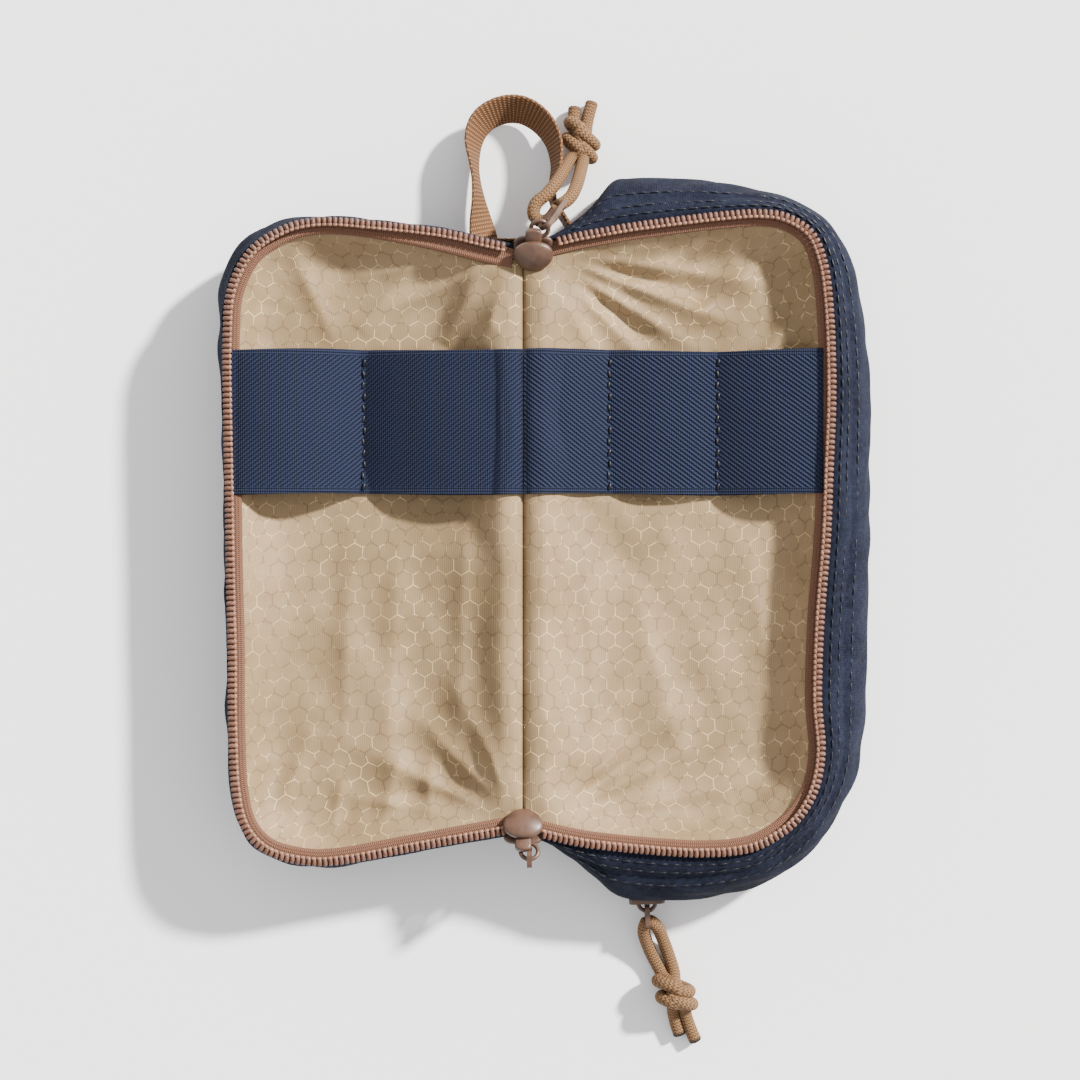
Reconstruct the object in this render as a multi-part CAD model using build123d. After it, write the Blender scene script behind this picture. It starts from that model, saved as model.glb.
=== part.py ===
from build123d import *
import math
import os

# Zip-around organizer, lying open. Millimetres. The spine runs along Y through x = 0, the two halves
# lie either side of it with their outer panels on z = 0. Right (+X) is the pocket half, left the cover.

# driving sizes
half_width = 84.0          # spine to the outer edge of the zip
spine_half_height = 80.5   # half the height of the zip outline at the spine
corner_half_height = 91.5  # the same at the outer corners
corner_radius = 27.0
rim_height = 26.0          # top of the closed zip line above the outer panel, and the fold's axis
belly_half_height = 100.0  # half height of the pocket half at its shoulder, its fullest
belly_corner_half = 97.0   # the same at its outer corners
belly_reach = 10.0         # how far the pocket half stands out past its zip at the outer edge
belly_at_spine = 1.0       # how far it stands out past the zip at the spine
belly_at_shoulder = 2.5    # the same where the shoulder starts
shoulder_start = 14.0      # the belly leaves the spine edge here
shoulder_end = 26.0        # and is at its full height here
cover_bulge = 1.5          # how far the cover half stands out past its zip
spine_play = 0.8           # between the two halves at the spine

# materials and layers
outer_cloth = 1.2
board = 1.5
gusset_wall = 2.4
lining_cloth = 0.8
lining_floor = 1.2
rear_lining_cloth = 1.0
layer_gap = 0.2            # between two loose layers
tray_floor_height = 14.0   # top of the lining, where contents lie
tape_thickness = 0.8
tape_width = 4.9           # flat zip tape, from under the coil inwards
coil_height = 2.4
coil_width = 2.4
closing_gap = 0.2          # coil top to the closing plane, on each half
spine_wall = 1.2
fold_bead_half = 0.6
fold_bead_depth = 0.9

# rear compartment zip, in the pocket half's edge
rear_zip_low = 4.6
rear_tape_width = 1.6
rear_coil_width = 2.4
rear_coil_proud = 0.4

# elastic band and its loops
elastic_thickness = 0.9
elastic_low = 12.5         # along Y
elastic_width = 40.0
loop_height = 8.0          # clear height under a loop
loop_ramp = 2.5
ramp_corner_shift = 0.63   # of the band's outer corners, so that its ramps keep their thickness
sewn_strip = 2.8           # width sewn flat at each stitch line
pocket_stitch_lines = [24.0, 54.0]   # between its first and last loop, from the spine
cover_stitch_lines = [44.5]
stitch_length = 2.6
stitch_pitch = 4.0
stitch_width = 0.9
stitch_thickness = 0.4

# zip sliders and pullers
notch_radius = 10.4        # clear space round the fold's axis at each end, for a slider
notch_start = 70.0
slider_width = 11.4
slider_length = 9.6
slider_plate = 1.3
slider_gap = 2.2           # between its two plates
slider_corner = 2.5
slider_neck = (4.0, 3.6)   # width and length of the post between its plates
slider_tilt = 34.0
slider_place = 78.6        # its middle, along Y
top_slider_shift = 2.8     # the top one hangs a little to the pocket side
stop_gap = 0.3             # coil's end stop to the slider, and to the end of the notch
bail_radius = 2.4
bail_wire = 0.6
bail_shift = 1.7           # its middle, to the side of the slider's middle
tab_length = 11.0
tab_width = 4.6
tab_thickness = 1.4
tab_corner = 1.2
tab_end = 0.9              # tab left past its pivot hole
tab_heading = -50.0        # top tab's turn about the bail, from +Y
top_tab_droop = 52.0       # of the top tab below the slider's own plane
eye_wall = 0.5
running_gap = 0.3
rear_slider_place = 34.5
rear_slider_length = 10.0
rear_slider_height = 8.0
rear_slider_corner = 2.0
rear_lip_length = 6.0
rear_tab_length = 6.5

# cords and webbing
cord_diameter = 3.6
floor_lift = 0.05
knot_diameter = 10.4
top_knot_length = 12.0
rear_knot_length = 13.4
knot_edge = 3.6
webbing_thickness = 1.4
webbing_width = 10.0
webbing_lift = 3.0
webbing_turn = 4.0         # radius of the bends in the carry loop's path
loop_stand_off = 1.74      # anchor strip to the middle of the loop's first end
loop_root = 1.59           # zip outline to the middle of its last end, inside the wall
anchor_half_width = 10.0
anchor_seat_depth = 15.0   # the anchor's block reaches this far under the pocket half's wall
anchor_gap = 0.9           # end wall of the cover half to the anchor strip

# worked out from the above
coil_low = rim_height - closing_gap - coil_height
gusset_top = coil_low - tape_thickness
rear_coil_low = rear_zip_low + rear_tape_width
rear_coil_high = rear_coil_low + rear_coil_width
rear_zip_high = rear_coil_high + rear_tape_width
tray_inset = gusset_wall + layer_gap
tray_base = tray_floor_height - lining_floor
far_side = -30.0           # past the spine, so that a cut leaves the spine edge open
cut_size = 400.0           # of a cutting block, larger than the whole part
notch_length = 60.0        # a slider notch runs this far past both ends of the case
slider_height = rim_height - slider_gap
bail_drop = -slider_gap / 2 - slider_plate / 2
bail_reach = slider_length / 2 + bail_radius - bail_wire


def between(low, high, share):
    return low + (high - low) * share


# each level has the height and how far the edge has moved from the zip outline to the belly outline
pocket_levels = [
    (outer_cloth, 0.82),
    (rear_zip_low, 0.97),
    (rear_coil_low, 1.0),
    (rear_coil_high, 1.0),
    (rear_zip_high, 1.0),
    (between(rear_zip_high, gusset_top, 0.45), 0.86),
    (between(rear_zip_high, gusset_top, 0.8), 0.5),
    (gusset_top, 0.08),
]
cover_levels = [
    (outer_cloth, 0.5),
    (between(outer_cloth, gusset_top, 0.4), 1.0),
    (between(outer_cloth, gusset_top, 0.8), 0.7),
    (gusset_top, 0.0),
]


def rim_height_at(x):
    return spine_half_height + (corner_half_height - spine_half_height) * x / half_width


def rim_points():
    # quarter of the zip outline, from the spine to the outer corner
    return [(x, rim_height_at(x)) for x in (0.0, shoulder_start, shoulder_end, half_width)]


def belly_points():
    shoulder = rim_height_at(shoulder_start) + belly_at_shoulder
    reach = half_width + belly_reach
    return [
        (0.0, spine_half_height + belly_at_spine),
        (shoulder_start, shoulder),
        (shoulder_end, belly_half_height),
        (reach, belly_corner_half),
    ]


def bulged_points():
    grown = [(x, y + cover_bulge) for x, y in rim_points()]
    grown[-1] = (half_width + cover_bulge, grown[-1][1])
    return grown


def mixed(first, second, share):
    return [(between(a[0], b[0], share), between(a[1], b[1], share)) for a, b in zip(first, second)]


def moved_in(points, inset):
    # each edge moves inwards by the inset; the last point's second edge is the upright outer side
    lines = []
    for (x0, y0), (x1, y1) in zip(points, points[1:]):
        length = math.hypot(x1 - x0, y1 - y0)
        shift = inset * length / (x1 - x0)
        slope = (y1 - y0) / (x1 - x0)
        lines.append((slope, y0 - slope * x0 - shift))
    result = [(points[0][0], lines[0][0] * points[0][0] + lines[0][1])]
    for (slope, rise), (next_slope, next_rise) in zip(lines, lines[1:]):
        if abs(slope - next_slope) < 1e-6:
            x = points[len(result)][0]
        else:
            x = (next_rise - rise) / (slope - next_slope)
        result.append((x, slope * x + rise))
    outer = points[-1][0] - inset
    result.append((outer, lines[-1][0] * outer + lines[-1][1]))
    return result


def outline(points, inset, spine_edge, height):
    # closed face: the quarter points mirrored about Y = 0, its two outer corners rounded
    quarter = moved_in(points, inset)
    slope = (quarter[1][1] - quarter[0][1]) / (quarter[1][0] - quarter[0][0])
    start = quarter[0][1] + slope * (spine_edge - quarter[0][0])
    upper = [(spine_edge, start)] + quarter[1:]
    lower = [(x, -y) for x, y in reversed(upper)]
    face = make_face(Polyline(*[(x, y, 0) for x, y in upper + lower], close=True))
    corners = face.vertices().sort_by(Axis.X)[-2:]
    rounded = fillet(corners, corner_radius - inset)
    return Pos(0, 0, height) * rounded.face()


def edge_points(levels, belly, height):
    below = [level for level in levels if level[0] <= height + 1e-6][-1]
    above = [level for level in levels if level[0] >= height - 1e-6][0]
    span = above[0] - below[0]
    share = below[1] if span < 1e-6 else between(below[1], above[1], (height - below[0]) / span)
    return mixed(rim_points(), belly, share)


def filled(levels, belly, low, high, inset, spine_edge):
    # solid inside the edge between two heights, moved in by the inset
    heights = [low] + [z for z, _ in levels if low + 1e-6 < z < high - 1e-6] + [high]
    faces = [outline(edge_points(levels, belly, z), inset, spine_edge, z) for z in heights]
    return Solid.make_loft([face.outer_wire() for face in faces], ruled=True)


def band(levels, belly, low, high, inset, wall, spine_edge):
    # strip of the given wall round the three zipped sides
    outer = filled(levels, belly, low, high, inset, spine_edge)
    inner = filled(levels, belly, low, high, inset + wall, far_side)
    return outer - inner


def tray_block(inset, low, high, spine_edge):
    face = outline(rim_points(), inset, spine_edge, low)
    return extrude(face, high - low, dir=(0, 0, 1))


def ring(low, high, inset, width, spine_edge):
    return tray_block(inset, low, high, spine_edge) - tray_block(inset + width, low, high, far_side)


def slider_notches():
    tube = Cylinder(notch_radius, notch_length, rotation=(90, 0, 0))
    shift = notch_start + notch_length / 2
    return Pos(0, shift, rim_height) * tube + Pos(0, -shift, rim_height) * tube


def grouped(shapes):
    solids = [solid for shape in shapes for solid in shape.solids()]
    return solids[0] if len(solids) == 1 else Compound(children=solids)


def mirrored(shape):
    return grouped([solid.mirror(Plane.YZ) for solid in shape.solids()])


os.makedirs("parts", exist_ok=True)
notches = slider_notches()


def save(name, shape):
    export_step(shape, "parts/" + name + ".step")


# one half's rim: zip tape, coil and its end stops
def zip_tape(spine_edge):
    return ring(gusset_top, coil_low, layer_gap, tape_width, spine_edge) - notches


def zip_coil(spine_edge):
    return ring(coil_low, coil_low + coil_height, 0.0, coil_width, spine_edge) - notches


def zip_stops():
    # moulded block at each end of a coil, beside the slider
    outer = ring(coil_low, coil_low + coil_height, 0.0, coil_width, 0.0)
    near = slider_width / 2 + top_slider_shift + stop_gap
    far = math.sqrt(notch_radius ** 2 - (rim_height - coil_low) ** 2)
    slot = Box(far - near, cut_size, cut_size, align=(Align.MIN, Align.CENTER, Align.CENTER))
    return grouped([outer & (Pos(near, 0, rim_height) * slot)])


# linings and padding
def tray_lining(spine_edge):
    outer = tray_block(tray_inset, tray_base, gusset_top, spine_edge)
    edge = spine_edge + lining_cloth
    inner = tray_block(tray_inset + lining_cloth, tray_floor_height, gusset_top, edge)
    return outer - inner - notches


def padding(levels, belly, low, spine_edge):
    block = filled(levels, belly, low, gusset_top, gusset_wall, spine_edge)
    tray = tray_block(tray_inset, tray_base, rim_height, far_side)
    return block - tray - notches


def layer(levels, belly, low, high, spine_edge):
    return filled(levels, belly, low, high, gusset_wall + layer_gap, spine_edge)


def spine_panel(low):
    # upright panel that closes a half along the spine, between the ends of its gusset
    reach = rim_height_at(0) - gusset_wall - layer_gap
    height = rim_height - fold_bead_depth - low
    panel = Box(spine_wall, 2 * reach, height, align=(Align.MIN, Align.CENTER, Align.MIN))
    return Pos(0, 0, low) * panel - notches


# elastic band
def all_stitch_lines(inner_lines, spine_edge):
    # the band is sewn down along the spine, at each inner line and at the outer edge
    first = spine_edge + lining_cloth + layer_gap + sewn_strip / 2
    last = half_width - tray_inset - lining_cloth - layer_gap - sewn_strip / 2
    return [first] + inner_lines + [last]


def elastic_band(stitch_lines):
    # cross-section along X: sewn flat at each stitch line, raised between two of them
    low = tray_floor_height
    path = [(stitch_lines[0] - sewn_strip / 2, low)]
    for left, right in zip(stitch_lines, stitch_lines[1:]):
        start = left + sewn_strip / 2
        end = right - sewn_strip / 2
        path.append((start, low))
        path.append((start + loop_ramp, low + loop_height))
        path.append((end - loop_ramp, low + loop_height))
        path.append((end, low))
    path.append((stitch_lines[-1] + sewn_strip / 2, low))
    upper = [(x, z + elastic_thickness) for x, z in path]
    # the ramps are steep, so their outer face also moves sideways
    for index in range(1, len(path) - 1):
        rising = path[index + 1][1] > path[index][1] or path[index][1] > path[index - 1][1]
        shift = -ramp_corner_shift if rising else ramp_corner_shift
        upper[index] = (path[index][0] + shift, upper[index][1])
    points = path + list(reversed(upper))
    face = make_face(Polyline(*[(x, 0, z) for x, z in points], close=True))
    return extrude(Pos(0, elastic_low, 0) * face, elastic_width, dir=(0, 1, 0))


def elastic_stitches(stitch_lines):
    stitch = Box(stitch_width, stitch_length, stitch_thickness, align=(Align.CENTER, Align.MIN, Align.MIN))
    count = int(elastic_width / stitch_pitch)
    shapes = []
    for line in stitch_lines:
        for index in range(count):
            y = elastic_low + (index + 0.5) * stitch_pitch - stitch_length / 2
            shapes.append(Pos(line, y, tray_floor_height + elastic_thickness) * stitch)
    return grouped(shapes)


# sliders and pull tabs
def slider_body():
    # inner plate uppermost, outer plate below, joined by a neck; a round bail at the outer plate's end
    inner_plate = extrude(Ellipse(slider_width / 2, slider_length / 2), slider_plate)
    outer_plate = extrude(RectangleRounded(slider_width, slider_length, slider_corner), slider_plate)
    neck = Box(*slider_neck, slider_gap, align=(Align.CENTER, Align.CENTER, Align.MIN))
    body = Pos(0, 0, slider_gap / 2) * inner_plate
    body += Pos(0, slider_length / 4, -slider_gap / 2) * neck
    body += Pos(0, 0, -slider_gap / 2 - slider_plate) * outer_plate
    body += Pos(bail_shift, bail_reach, bail_drop) * Torus(bail_radius, bail_wire)
    return body


def slider_at(shift):
    return Pos(shift, slider_place, slider_height) * Rot(slider_tilt, 0, 0) * slider_body()


def bail_centre(shift):
    angle = math.radians(slider_tilt)
    y = slider_place + bail_reach * math.cos(angle) - bail_drop * math.sin(angle)
    z = slider_height + bail_reach * math.sin(angle) + bail_drop * math.cos(angle)
    return (shift + bail_shift, y, z)


def pull_tab(length, width):
    # flat upright tab along +Y; its pivot hole is on X at the origin, its eye at the far end
    plate = extrude(RectangleRounded(length, width, tab_corner), tab_thickness / 2, both=True)
    pivot_radius = bail_wire + running_gap
    plate = Pos(length / 2 - pivot_radius - tab_end, 0, 0) * plate
    pivot = Cylinder(pivot_radius, tab_thickness * 2)
    eye = Pos(eye_place(length, width), 0, 0) * Cylinder(width / 2 - eye_wall, tab_thickness * 2)
    return plate - pivot - eye


def eye_place(length, width):
    return length - bail_wire - running_gap - tab_end - width / 2


def tab_place(centre, tilt, heading, droop):
    # the bail lies in its slider's plane; the tab hangs on its wire, turned about the bail's centre
    return Pos(*centre) * Rot(tilt, 0, 0) * Rot(0, 0, heading) * Pos(0, bail_radius, 0) * Rot(-droop, 0, 0)


def upright(length, width):
    # the tab's flat face upright, its length along +Y
    return Rot(0, 0, 90) * Rot(90, 0, 0) * pull_tab(length, width)


# cords
def cord_tube(name, points):
    runs = [(b - a).length for a, b in zip(points, points[1:])]
    radii = []
    for index in range(1, len(points) - 1):
        before = points[index] - points[index - 1]
        after = points[index + 1] - points[index]
        turn = math.radians(before.get_angle(after))
        shorter = min(runs[index - 1], runs[index])
        radii.append(0.45 * shorter / math.tan(turn / 2))
    path = FilletPolyline(*points, radius=radii)
    start = Plane(origin=path @ 0, z_dir=path % 0)
    tube = sweep(start * Circle(cord_diameter / 2), path=path)
    section = math.pi * cord_diameter ** 2 / 4
    print(name, "length", round(path.length, 1), "radii", [round(radius, 1) for radius in radii])
    print(name, "volume", round(tube.volume, 1), "section times length", round(section * path.length, 1))
    return tube


def knot(centre, heading, length):
    # short fat roll lying across the cord, heading is the cord's direction in plan
    roll = Cylinder(knot_diameter / 2, length, rotation=(0, 90, 0))
    roll = fillet(roll.edges(), knot_edge)
    return Pos(*centre) * Rot(0, 0, heading - 90) * roll


lying = cord_diameter / 2 + floor_lift
knot_middle = knot_diameter / 2 + floor_lift


# every point of a route is chosen by hand, in the part's own frame
top_route_left = [
    Vector(9.6, 91.6, 23.9),
    Vector(7.4, 89.6, 23.0),
    Vector(4.4, 89.5, 22.0),
    Vector(2.2, 91.5, 21.2),
    Vector(2.2, 94.4, 20.6),
    Vector(4.4, 96.5, 20.2),
    Vector(8.0, 98.0, 19.4),
    Vector(11.2, 101.4, 16.4),
    Vector(13.4, 105.4, 11.4),
    Vector(14.6, 108.6, 6.8),
]
top_route_right = [
    Vector(9.6, 91.6, 23.9),
    Vector(12.6, 93.2, 22.6),
    Vector(15.2, 97.4, 19.0),
    Vector(16.8, 102.4, 13.2),
    Vector(17.2, 107.6, 6.8),
]
top_tail_left = [Vector(14.6, 113.6, 4.6), Vector(14.0, 117.6, 2.6), Vector(14.4, 122.6, lying)]
top_tail_right = [Vector(17.4, 113.4, 5.0), Vector(17.8, 118.4, 2.8), Vector(19.4, 124.0, lying)]
top_knot_centre = (15.9, 111.2, knot_middle)
top_knot_heading = 78.0
rear_route_left = [
    Vector(34.8, -106.4, 7.4),
    Vector(32.6, -109.0, 6.0),
    Vector(33.0, -112.8, 4.0),
    Vector(35.0, -116.9, 2.3),
    Vector(37.6, -120.3, lying),
    Vector(39.8, -124.0, 2.6),
]
rear_route_right = [
    Vector(34.8, -106.4, 7.4),
    Vector(38.0, -107.6, 6.4),
    Vector(40.4, -111.9, 3.8),
    Vector(41.9, -117.3, lying),
    Vector(43.0, -123.4, 2.6),
]
rear_tail_left = [Vector(42.0, -130.2, 4.2), Vector(42.4, -135.0, 2.2), Vector(44.2, -140.2, lying)]
rear_tail_right = [Vector(45.2, -130.4, 4.2), Vector(46.0, -136.0, 2.2), Vector(48.8, -142.0, lying)]
rear_knot_centre = (42.6, -127.4, knot_middle)
rear_knot_heading = -78.0
loop_start = -7.6
loop_end = 14.6
loop_path = [
    (-10.4, 91.6),
    (-13.4, 99.4),
    (-14.4, 108.0),
    (-11.6, 116.2),
    (-4.6, 120.8),
    (3.2, 118.6),
    (7.6, 112.4),
    (8.6, 104.4),
    (7.6, 97.2),
    (10.8, 92.2),
]


# the pocket half
def pocket_layer(low, high):
    return layer(pocket_levels, belly_points(), low, high, spine_wall)


def pocket_band(low, high, inset=0.0, wall=gusset_wall):
    return band(pocket_levels, belly_points(), low, high, inset, wall, 0.0)


def pocket_half():
    stiffener_top = outer_cloth + board
    rear_outer_top = stiffener_top + rear_lining_cloth
    rear_inner_low = rear_outer_top + layer_gap
    rear_inner_top = rear_inner_low + rear_lining_cloth
    divider_top = rear_inner_top + board
    full = filled(pocket_levels, belly_points(), outer_cloth, rear_zip_low, 0.0, 0.0)
    base = full.faces().sort_by(Axis.Z)[0]
    save("pocket_base_panel", extrude(base, outer_cloth, dir=(0, 0, -1)))
    save("pocket_stiffener", pocket_layer(outer_cloth, stiffener_top))
    save("rear_pocket_outer_lining", pocket_layer(stiffener_top, rear_outer_top))
    save("rear_pocket_inner_lining", pocket_layer(rear_inner_low, rear_inner_top))
    save("pocket_divider_board", pocket_layer(rear_inner_top, divider_top))
    save("pocket_padding", padding(pocket_levels, belly_points(), divider_top, spine_wall))
    save("pocket_lining", tray_lining(spine_wall))
    save("pocket_gusset_lower", pocket_band(outer_cloth, rear_zip_low))
    save("pocket_gusset_upper", pocket_band(rear_zip_high, gusset_top) - notches)
    save("rear_zip_tape_lower", pocket_band(rear_zip_low, rear_coil_low))
    save("rear_zip_coil", pocket_band(rear_coil_low, rear_coil_high, -rear_coil_proud, gusset_wall))
    save("rear_zip_tape_upper", pocket_band(rear_coil_high, rear_zip_high))
    save("pocket_spine_panel", spine_panel(outer_cloth))
    save("pocket_zip_tape", zip_tape(0.0))
    save("pocket_zip_coil", zip_coil(0.0))
    save("pocket_zip_stops", zip_stops())
    lines = all_stitch_lines(pocket_stitch_lines, spine_wall)
    save("pocket_elastic", elastic_band(lines))
    save("pocket_elastic_stitches", elastic_stitches(lines))


# the cover half, mirrored across the spine
def cover_half():
    points = bulged_points()
    edge = spine_play
    full = filled(cover_levels, points, outer_cloth, cover_levels[1][0], 0.0, edge)
    base = full.faces().sort_by(Axis.Z)[0]
    wall_edge = edge + spine_wall
    panel = Pos(edge, 0, 0) * spine_panel(outer_cloth)
    lines = all_stitch_lines(cover_stitch_lines, wall_edge)
    stiffener_top = outer_cloth + board
    shapes = {
        "cover_base_panel": extrude(base, outer_cloth, dir=(0, 0, -1)),
        "cover_stiffener": layer(cover_levels, points, outer_cloth, stiffener_top, wall_edge),
        "cover_padding": padding(cover_levels, points, stiffener_top, wall_edge),
        "cover_lining": tray_lining(wall_edge),
        "cover_gusset": band(cover_levels, points, outer_cloth, gusset_top, 0.0, gusset_wall, edge) - notches,
        "cover_spine_panel": panel,
        "cover_zip_tape": zip_tape(edge),
        "cover_zip_coil": zip_coil(edge),
        "cover_zip_stops": zip_stops(),
        "cover_elastic": elastic_band(lines),
        "cover_elastic_stitches": elastic_stitches(lines),
    }
    for name, shape in shapes.items():
        save(name, mirrored(shape))


def spine_fold():
    reach = 2 * (slider_place - slider_length)
    strip = Box(2 * fold_bead_half, reach, fold_bead_depth, align=(Align.CENTER, Align.CENTER, Align.MIN))
    save("spine_fold", Pos(0, 0, rim_height - fold_bead_depth) * strip)


# sliders, pull tabs and cords
def main_zip_sliders():
    tab = upright(tab_length, tab_width)
    save("top_slider", slider_at(top_slider_shift))
    place = tab_place(bail_centre(top_slider_shift), slider_tilt, tab_heading, top_tab_droop)
    save("top_pull_tab", place * tab)
    eye = place * Pos(0, eye_place(tab_length, tab_width), 0)
    print("top pull wire", place.position, "axis", (place * Pos(1, 0, 0)).position - place.position)
    print("top tab eye", eye.position)
    # the bottom slider is its mirror image, and its tab hangs straight down
    save("bottom_slider", slider_at(0.0).mirror(Plane.XZ))
    hanging = tab_place(bail_centre(0.0), slider_tilt, 0.0, slider_tilt + 90)
    print("bottom pull wire, mirrored in XZ", hanging.position)
    save("bottom_pull_tab", (hanging * tab).mirror(Plane.XZ))


def rear_slider():
    face = -(belly_edge_at(rear_slider_place) + rear_coil_proud + running_gap)
    middle = (rear_coil_low + rear_coil_high) / 2
    size = (rear_slider_length, slider_plate, rear_slider_height)
    plate = Pos(0, -slider_plate / 2, 0) * Box(*size)
    plate = fillet(plate.edges().filter_by(Axis.Y), rear_slider_corner)
    lip_width = (rear_slider_height - rear_coil_width) / 2 - running_gap
    lip_align = (Align.CENTER, Align.MIN, Align.MIN)
    lip = Box(rear_lip_length, rear_coil_proud, lip_width, align=lip_align)
    lip_low = rear_coil_width / 2 + running_gap
    plate += Pos(0, 0, lip_low) * lip
    plate += (Pos(0, 0, lip_low) * lip).mirror(Plane.XY)
    bail = Torus(bail_radius, bail_wire) - Pos(0, cut_size / 2, 0) * Box(cut_size, cut_size, cut_size)
    plate += Pos(0, -slider_plate, 0) * bail
    place = Pos(rear_slider_place, face, middle) * Rot(0, 0, belly_slope())
    save("rear_slider", place * plate)
    bail_middle = place * Pos(0, -slider_plate, 0)
    tab = Rot(0, 0, 180) * upright(rear_tab_length, tab_width)
    save("rear_pull_tab", bail_middle * Pos(0, -bail_radius, 0) * tab)
    eye = bail_middle * Pos(0, -bail_radius - eye_place(rear_tab_length, tab_width), 0)
    print("rear bail middle", bail_middle.position, "slide direction", belly_slope(), "degrees")
    print("rear tab eye", eye.position)


def belly_slope():
    # of the pocket half's lower edge, in degrees
    run = half_width + belly_reach - shoulder_end
    return math.degrees(math.atan2(belly_half_height - belly_corner_half, run))


def belly_edge_at(x):
    return belly_half_height - (x - shoulder_end) * math.tan(math.radians(belly_slope()))


def pull_cords():
    left = cord_tube("top left strand", top_route_left)
    right = cord_tube("top right strand", top_route_right)
    save("top_cord_strands", grouped([left, right]))
    save("top_cord_knot", knot(top_knot_centre, top_knot_heading, top_knot_length))
    tails = [cord_tube("top left tail", top_tail_left), cord_tube("top right tail", top_tail_right)]
    save("top_cord_tails", grouped(tails))
    left = cord_tube("rear left strand", rear_route_left)
    right = cord_tube("rear right strand", rear_route_right)
    save("rear_cord_strands", grouped([left, right]))
    save("rear_cord_knot", knot(rear_knot_centre, rear_knot_heading, rear_knot_length))
    tails = [cord_tube("rear left tail", rear_tail_left), cord_tube("rear right tail", rear_tail_right)]
    save("rear_cord_tails", grouped(tails))


# carry loop
def carry_loop():
    wall = filled(pocket_levels, belly_points(), outer_cloth, gusset_top, 0.0, far_side)
    wall += filled(pocket_levels, belly_points(), rear_coil_low, rear_coil_high, -rear_coil_proud, far_side)
    anchor_face = rim_height_at(notch_radius) + cover_bulge + anchor_gap
    first = (loop_start, anchor_face + loop_stand_off)
    last = (loop_end, rim_height_at(loop_end) + loop_root)
    points = [first] + loop_path + [last]
    path = FilletPolyline(*[Vector(x, y, 0) for x, y in points], radius=webbing_turn)
    strap = extrude(trace(path, webbing_thickness), webbing_width, dir=(0, 0, 1))
    anchor_end = anchor_face + webbing_thickness
    strip_align = (Align.CENTER, Align.MIN, Align.MIN)
    strip = Box(2 * anchor_half_width, webbing_thickness, webbing_width, align=strip_align)
    strip = Pos(0, anchor_face, webbing_lift) * strip
    seat_align = (Align.MIN, Align.MIN, Align.MIN)
    seat = Box(anchor_half_width, anchor_seat_depth, webbing_width, align=seat_align)
    seat = Pos(0, anchor_end - anchor_seat_depth, webbing_lift) * seat
    anchor = (strip + seat) - wall_without_cover(wall)
    strap = (Pos(0, 0, webbing_lift) * strap) - wall - anchor
    save("carry_loop", strap.solids().sort_by(SortBy.VOLUME)[-1])
    save("carry_loop_anchor", anchor)


def wall_without_cover(wall):
    # the part of the wall on the pocket side of the spine
    return wall & (Pos(cut_size / 2, 0, 0) * Box(cut_size, cut_size, cut_size))


pocket_half()
cover_half()
spine_fold()
main_zip_sliders()
rear_slider()
pull_cords()
carry_loop()
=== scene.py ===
import math

import bmesh
import bpy
import numpy as np
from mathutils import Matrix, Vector


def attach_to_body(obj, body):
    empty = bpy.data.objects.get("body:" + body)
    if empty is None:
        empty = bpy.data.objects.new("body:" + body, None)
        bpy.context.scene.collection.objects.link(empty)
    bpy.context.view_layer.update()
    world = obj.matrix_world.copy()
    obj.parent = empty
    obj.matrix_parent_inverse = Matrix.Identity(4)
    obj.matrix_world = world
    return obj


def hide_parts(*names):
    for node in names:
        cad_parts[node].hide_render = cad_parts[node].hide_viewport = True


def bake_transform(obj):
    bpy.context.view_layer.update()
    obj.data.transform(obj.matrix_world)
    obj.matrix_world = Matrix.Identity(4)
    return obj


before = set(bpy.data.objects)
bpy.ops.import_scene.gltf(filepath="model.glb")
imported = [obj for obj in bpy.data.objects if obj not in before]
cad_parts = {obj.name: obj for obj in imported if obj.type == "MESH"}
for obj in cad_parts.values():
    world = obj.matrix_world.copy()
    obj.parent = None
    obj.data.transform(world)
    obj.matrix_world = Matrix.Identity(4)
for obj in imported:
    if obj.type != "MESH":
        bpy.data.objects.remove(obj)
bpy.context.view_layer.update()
mm = 0.001
up = np.array([0.0, 0.0, 1.0])


viewing = {"lens": 85.0, "frameWidth": 295.0, "rimHeight": 26.0, "centre": (4.6, 0.0)}


def placeCamera():
    camera = bpy.data.cameras.new("camera")
    camera.lens = viewing["lens"]
    camera.sensor_width = 36.0
    away = viewing["frameWidth"] * viewing["lens"] / camera.sensor_width
    holder = bpy.data.objects.new("camera", camera)
    x, y = viewing["centre"]
    holder.location = (x * mm, y * mm, (viewing["rimHeight"] + away) * mm)
    bpy.context.collection.objects.link(holder)
    bpy.context.scene.camera = holder


class Wire:
    # a node's output, so that an expression on wires and numbers adds its Math nodes
    def __init__(self, graph, socket):
        self.graph = graph
        self.socket = socket

    def join(self, operation, first, second):
        return self.graph.node("ShaderNodeMath", {"operation": operation}, {0: first, 1: second})

    def __abs__(self):
        return self.join("ABSOLUTE", self, 0.0)

    def sine(self):
        return self.join("SINE", self, 0.0)

    def ramp(self, low, high, start=0.0, end=1.0):
        # goes smoothly from start to end as the wire goes from low to high
        settings = {"interpolation_type": "SMOOTHSTEP"}
        inputs = {"Value": self, 1: low, 2: high, 3: start, 4: end}
        return self.graph.node("ShaderNodeMapRange", settings, inputs)


def joining(operation, swapped):
    # a method of Wire that joins it with a wire or a number
    return lambda wire, other: wire.join(operation, *((other, wire) if swapped else (wire, other)))


for name, operation in {
    "add": "ADD", "sub": "SUBTRACT", "mul": "MULTIPLY", "truediv": "DIVIDE", "mod": "FLOORED_MODULO",
    "lt": "LESS_THAN",
}.items():
    setattr(Wire, f"__{name}__", joining(operation, False))
    if name in ("add", "sub", "mul"):
        setattr(Wire, f"__r{name}__", joining(operation, True))
Wire.least = joining("MINIMUM", False)
Wire.most = joining("MAXIMUM", False)


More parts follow.
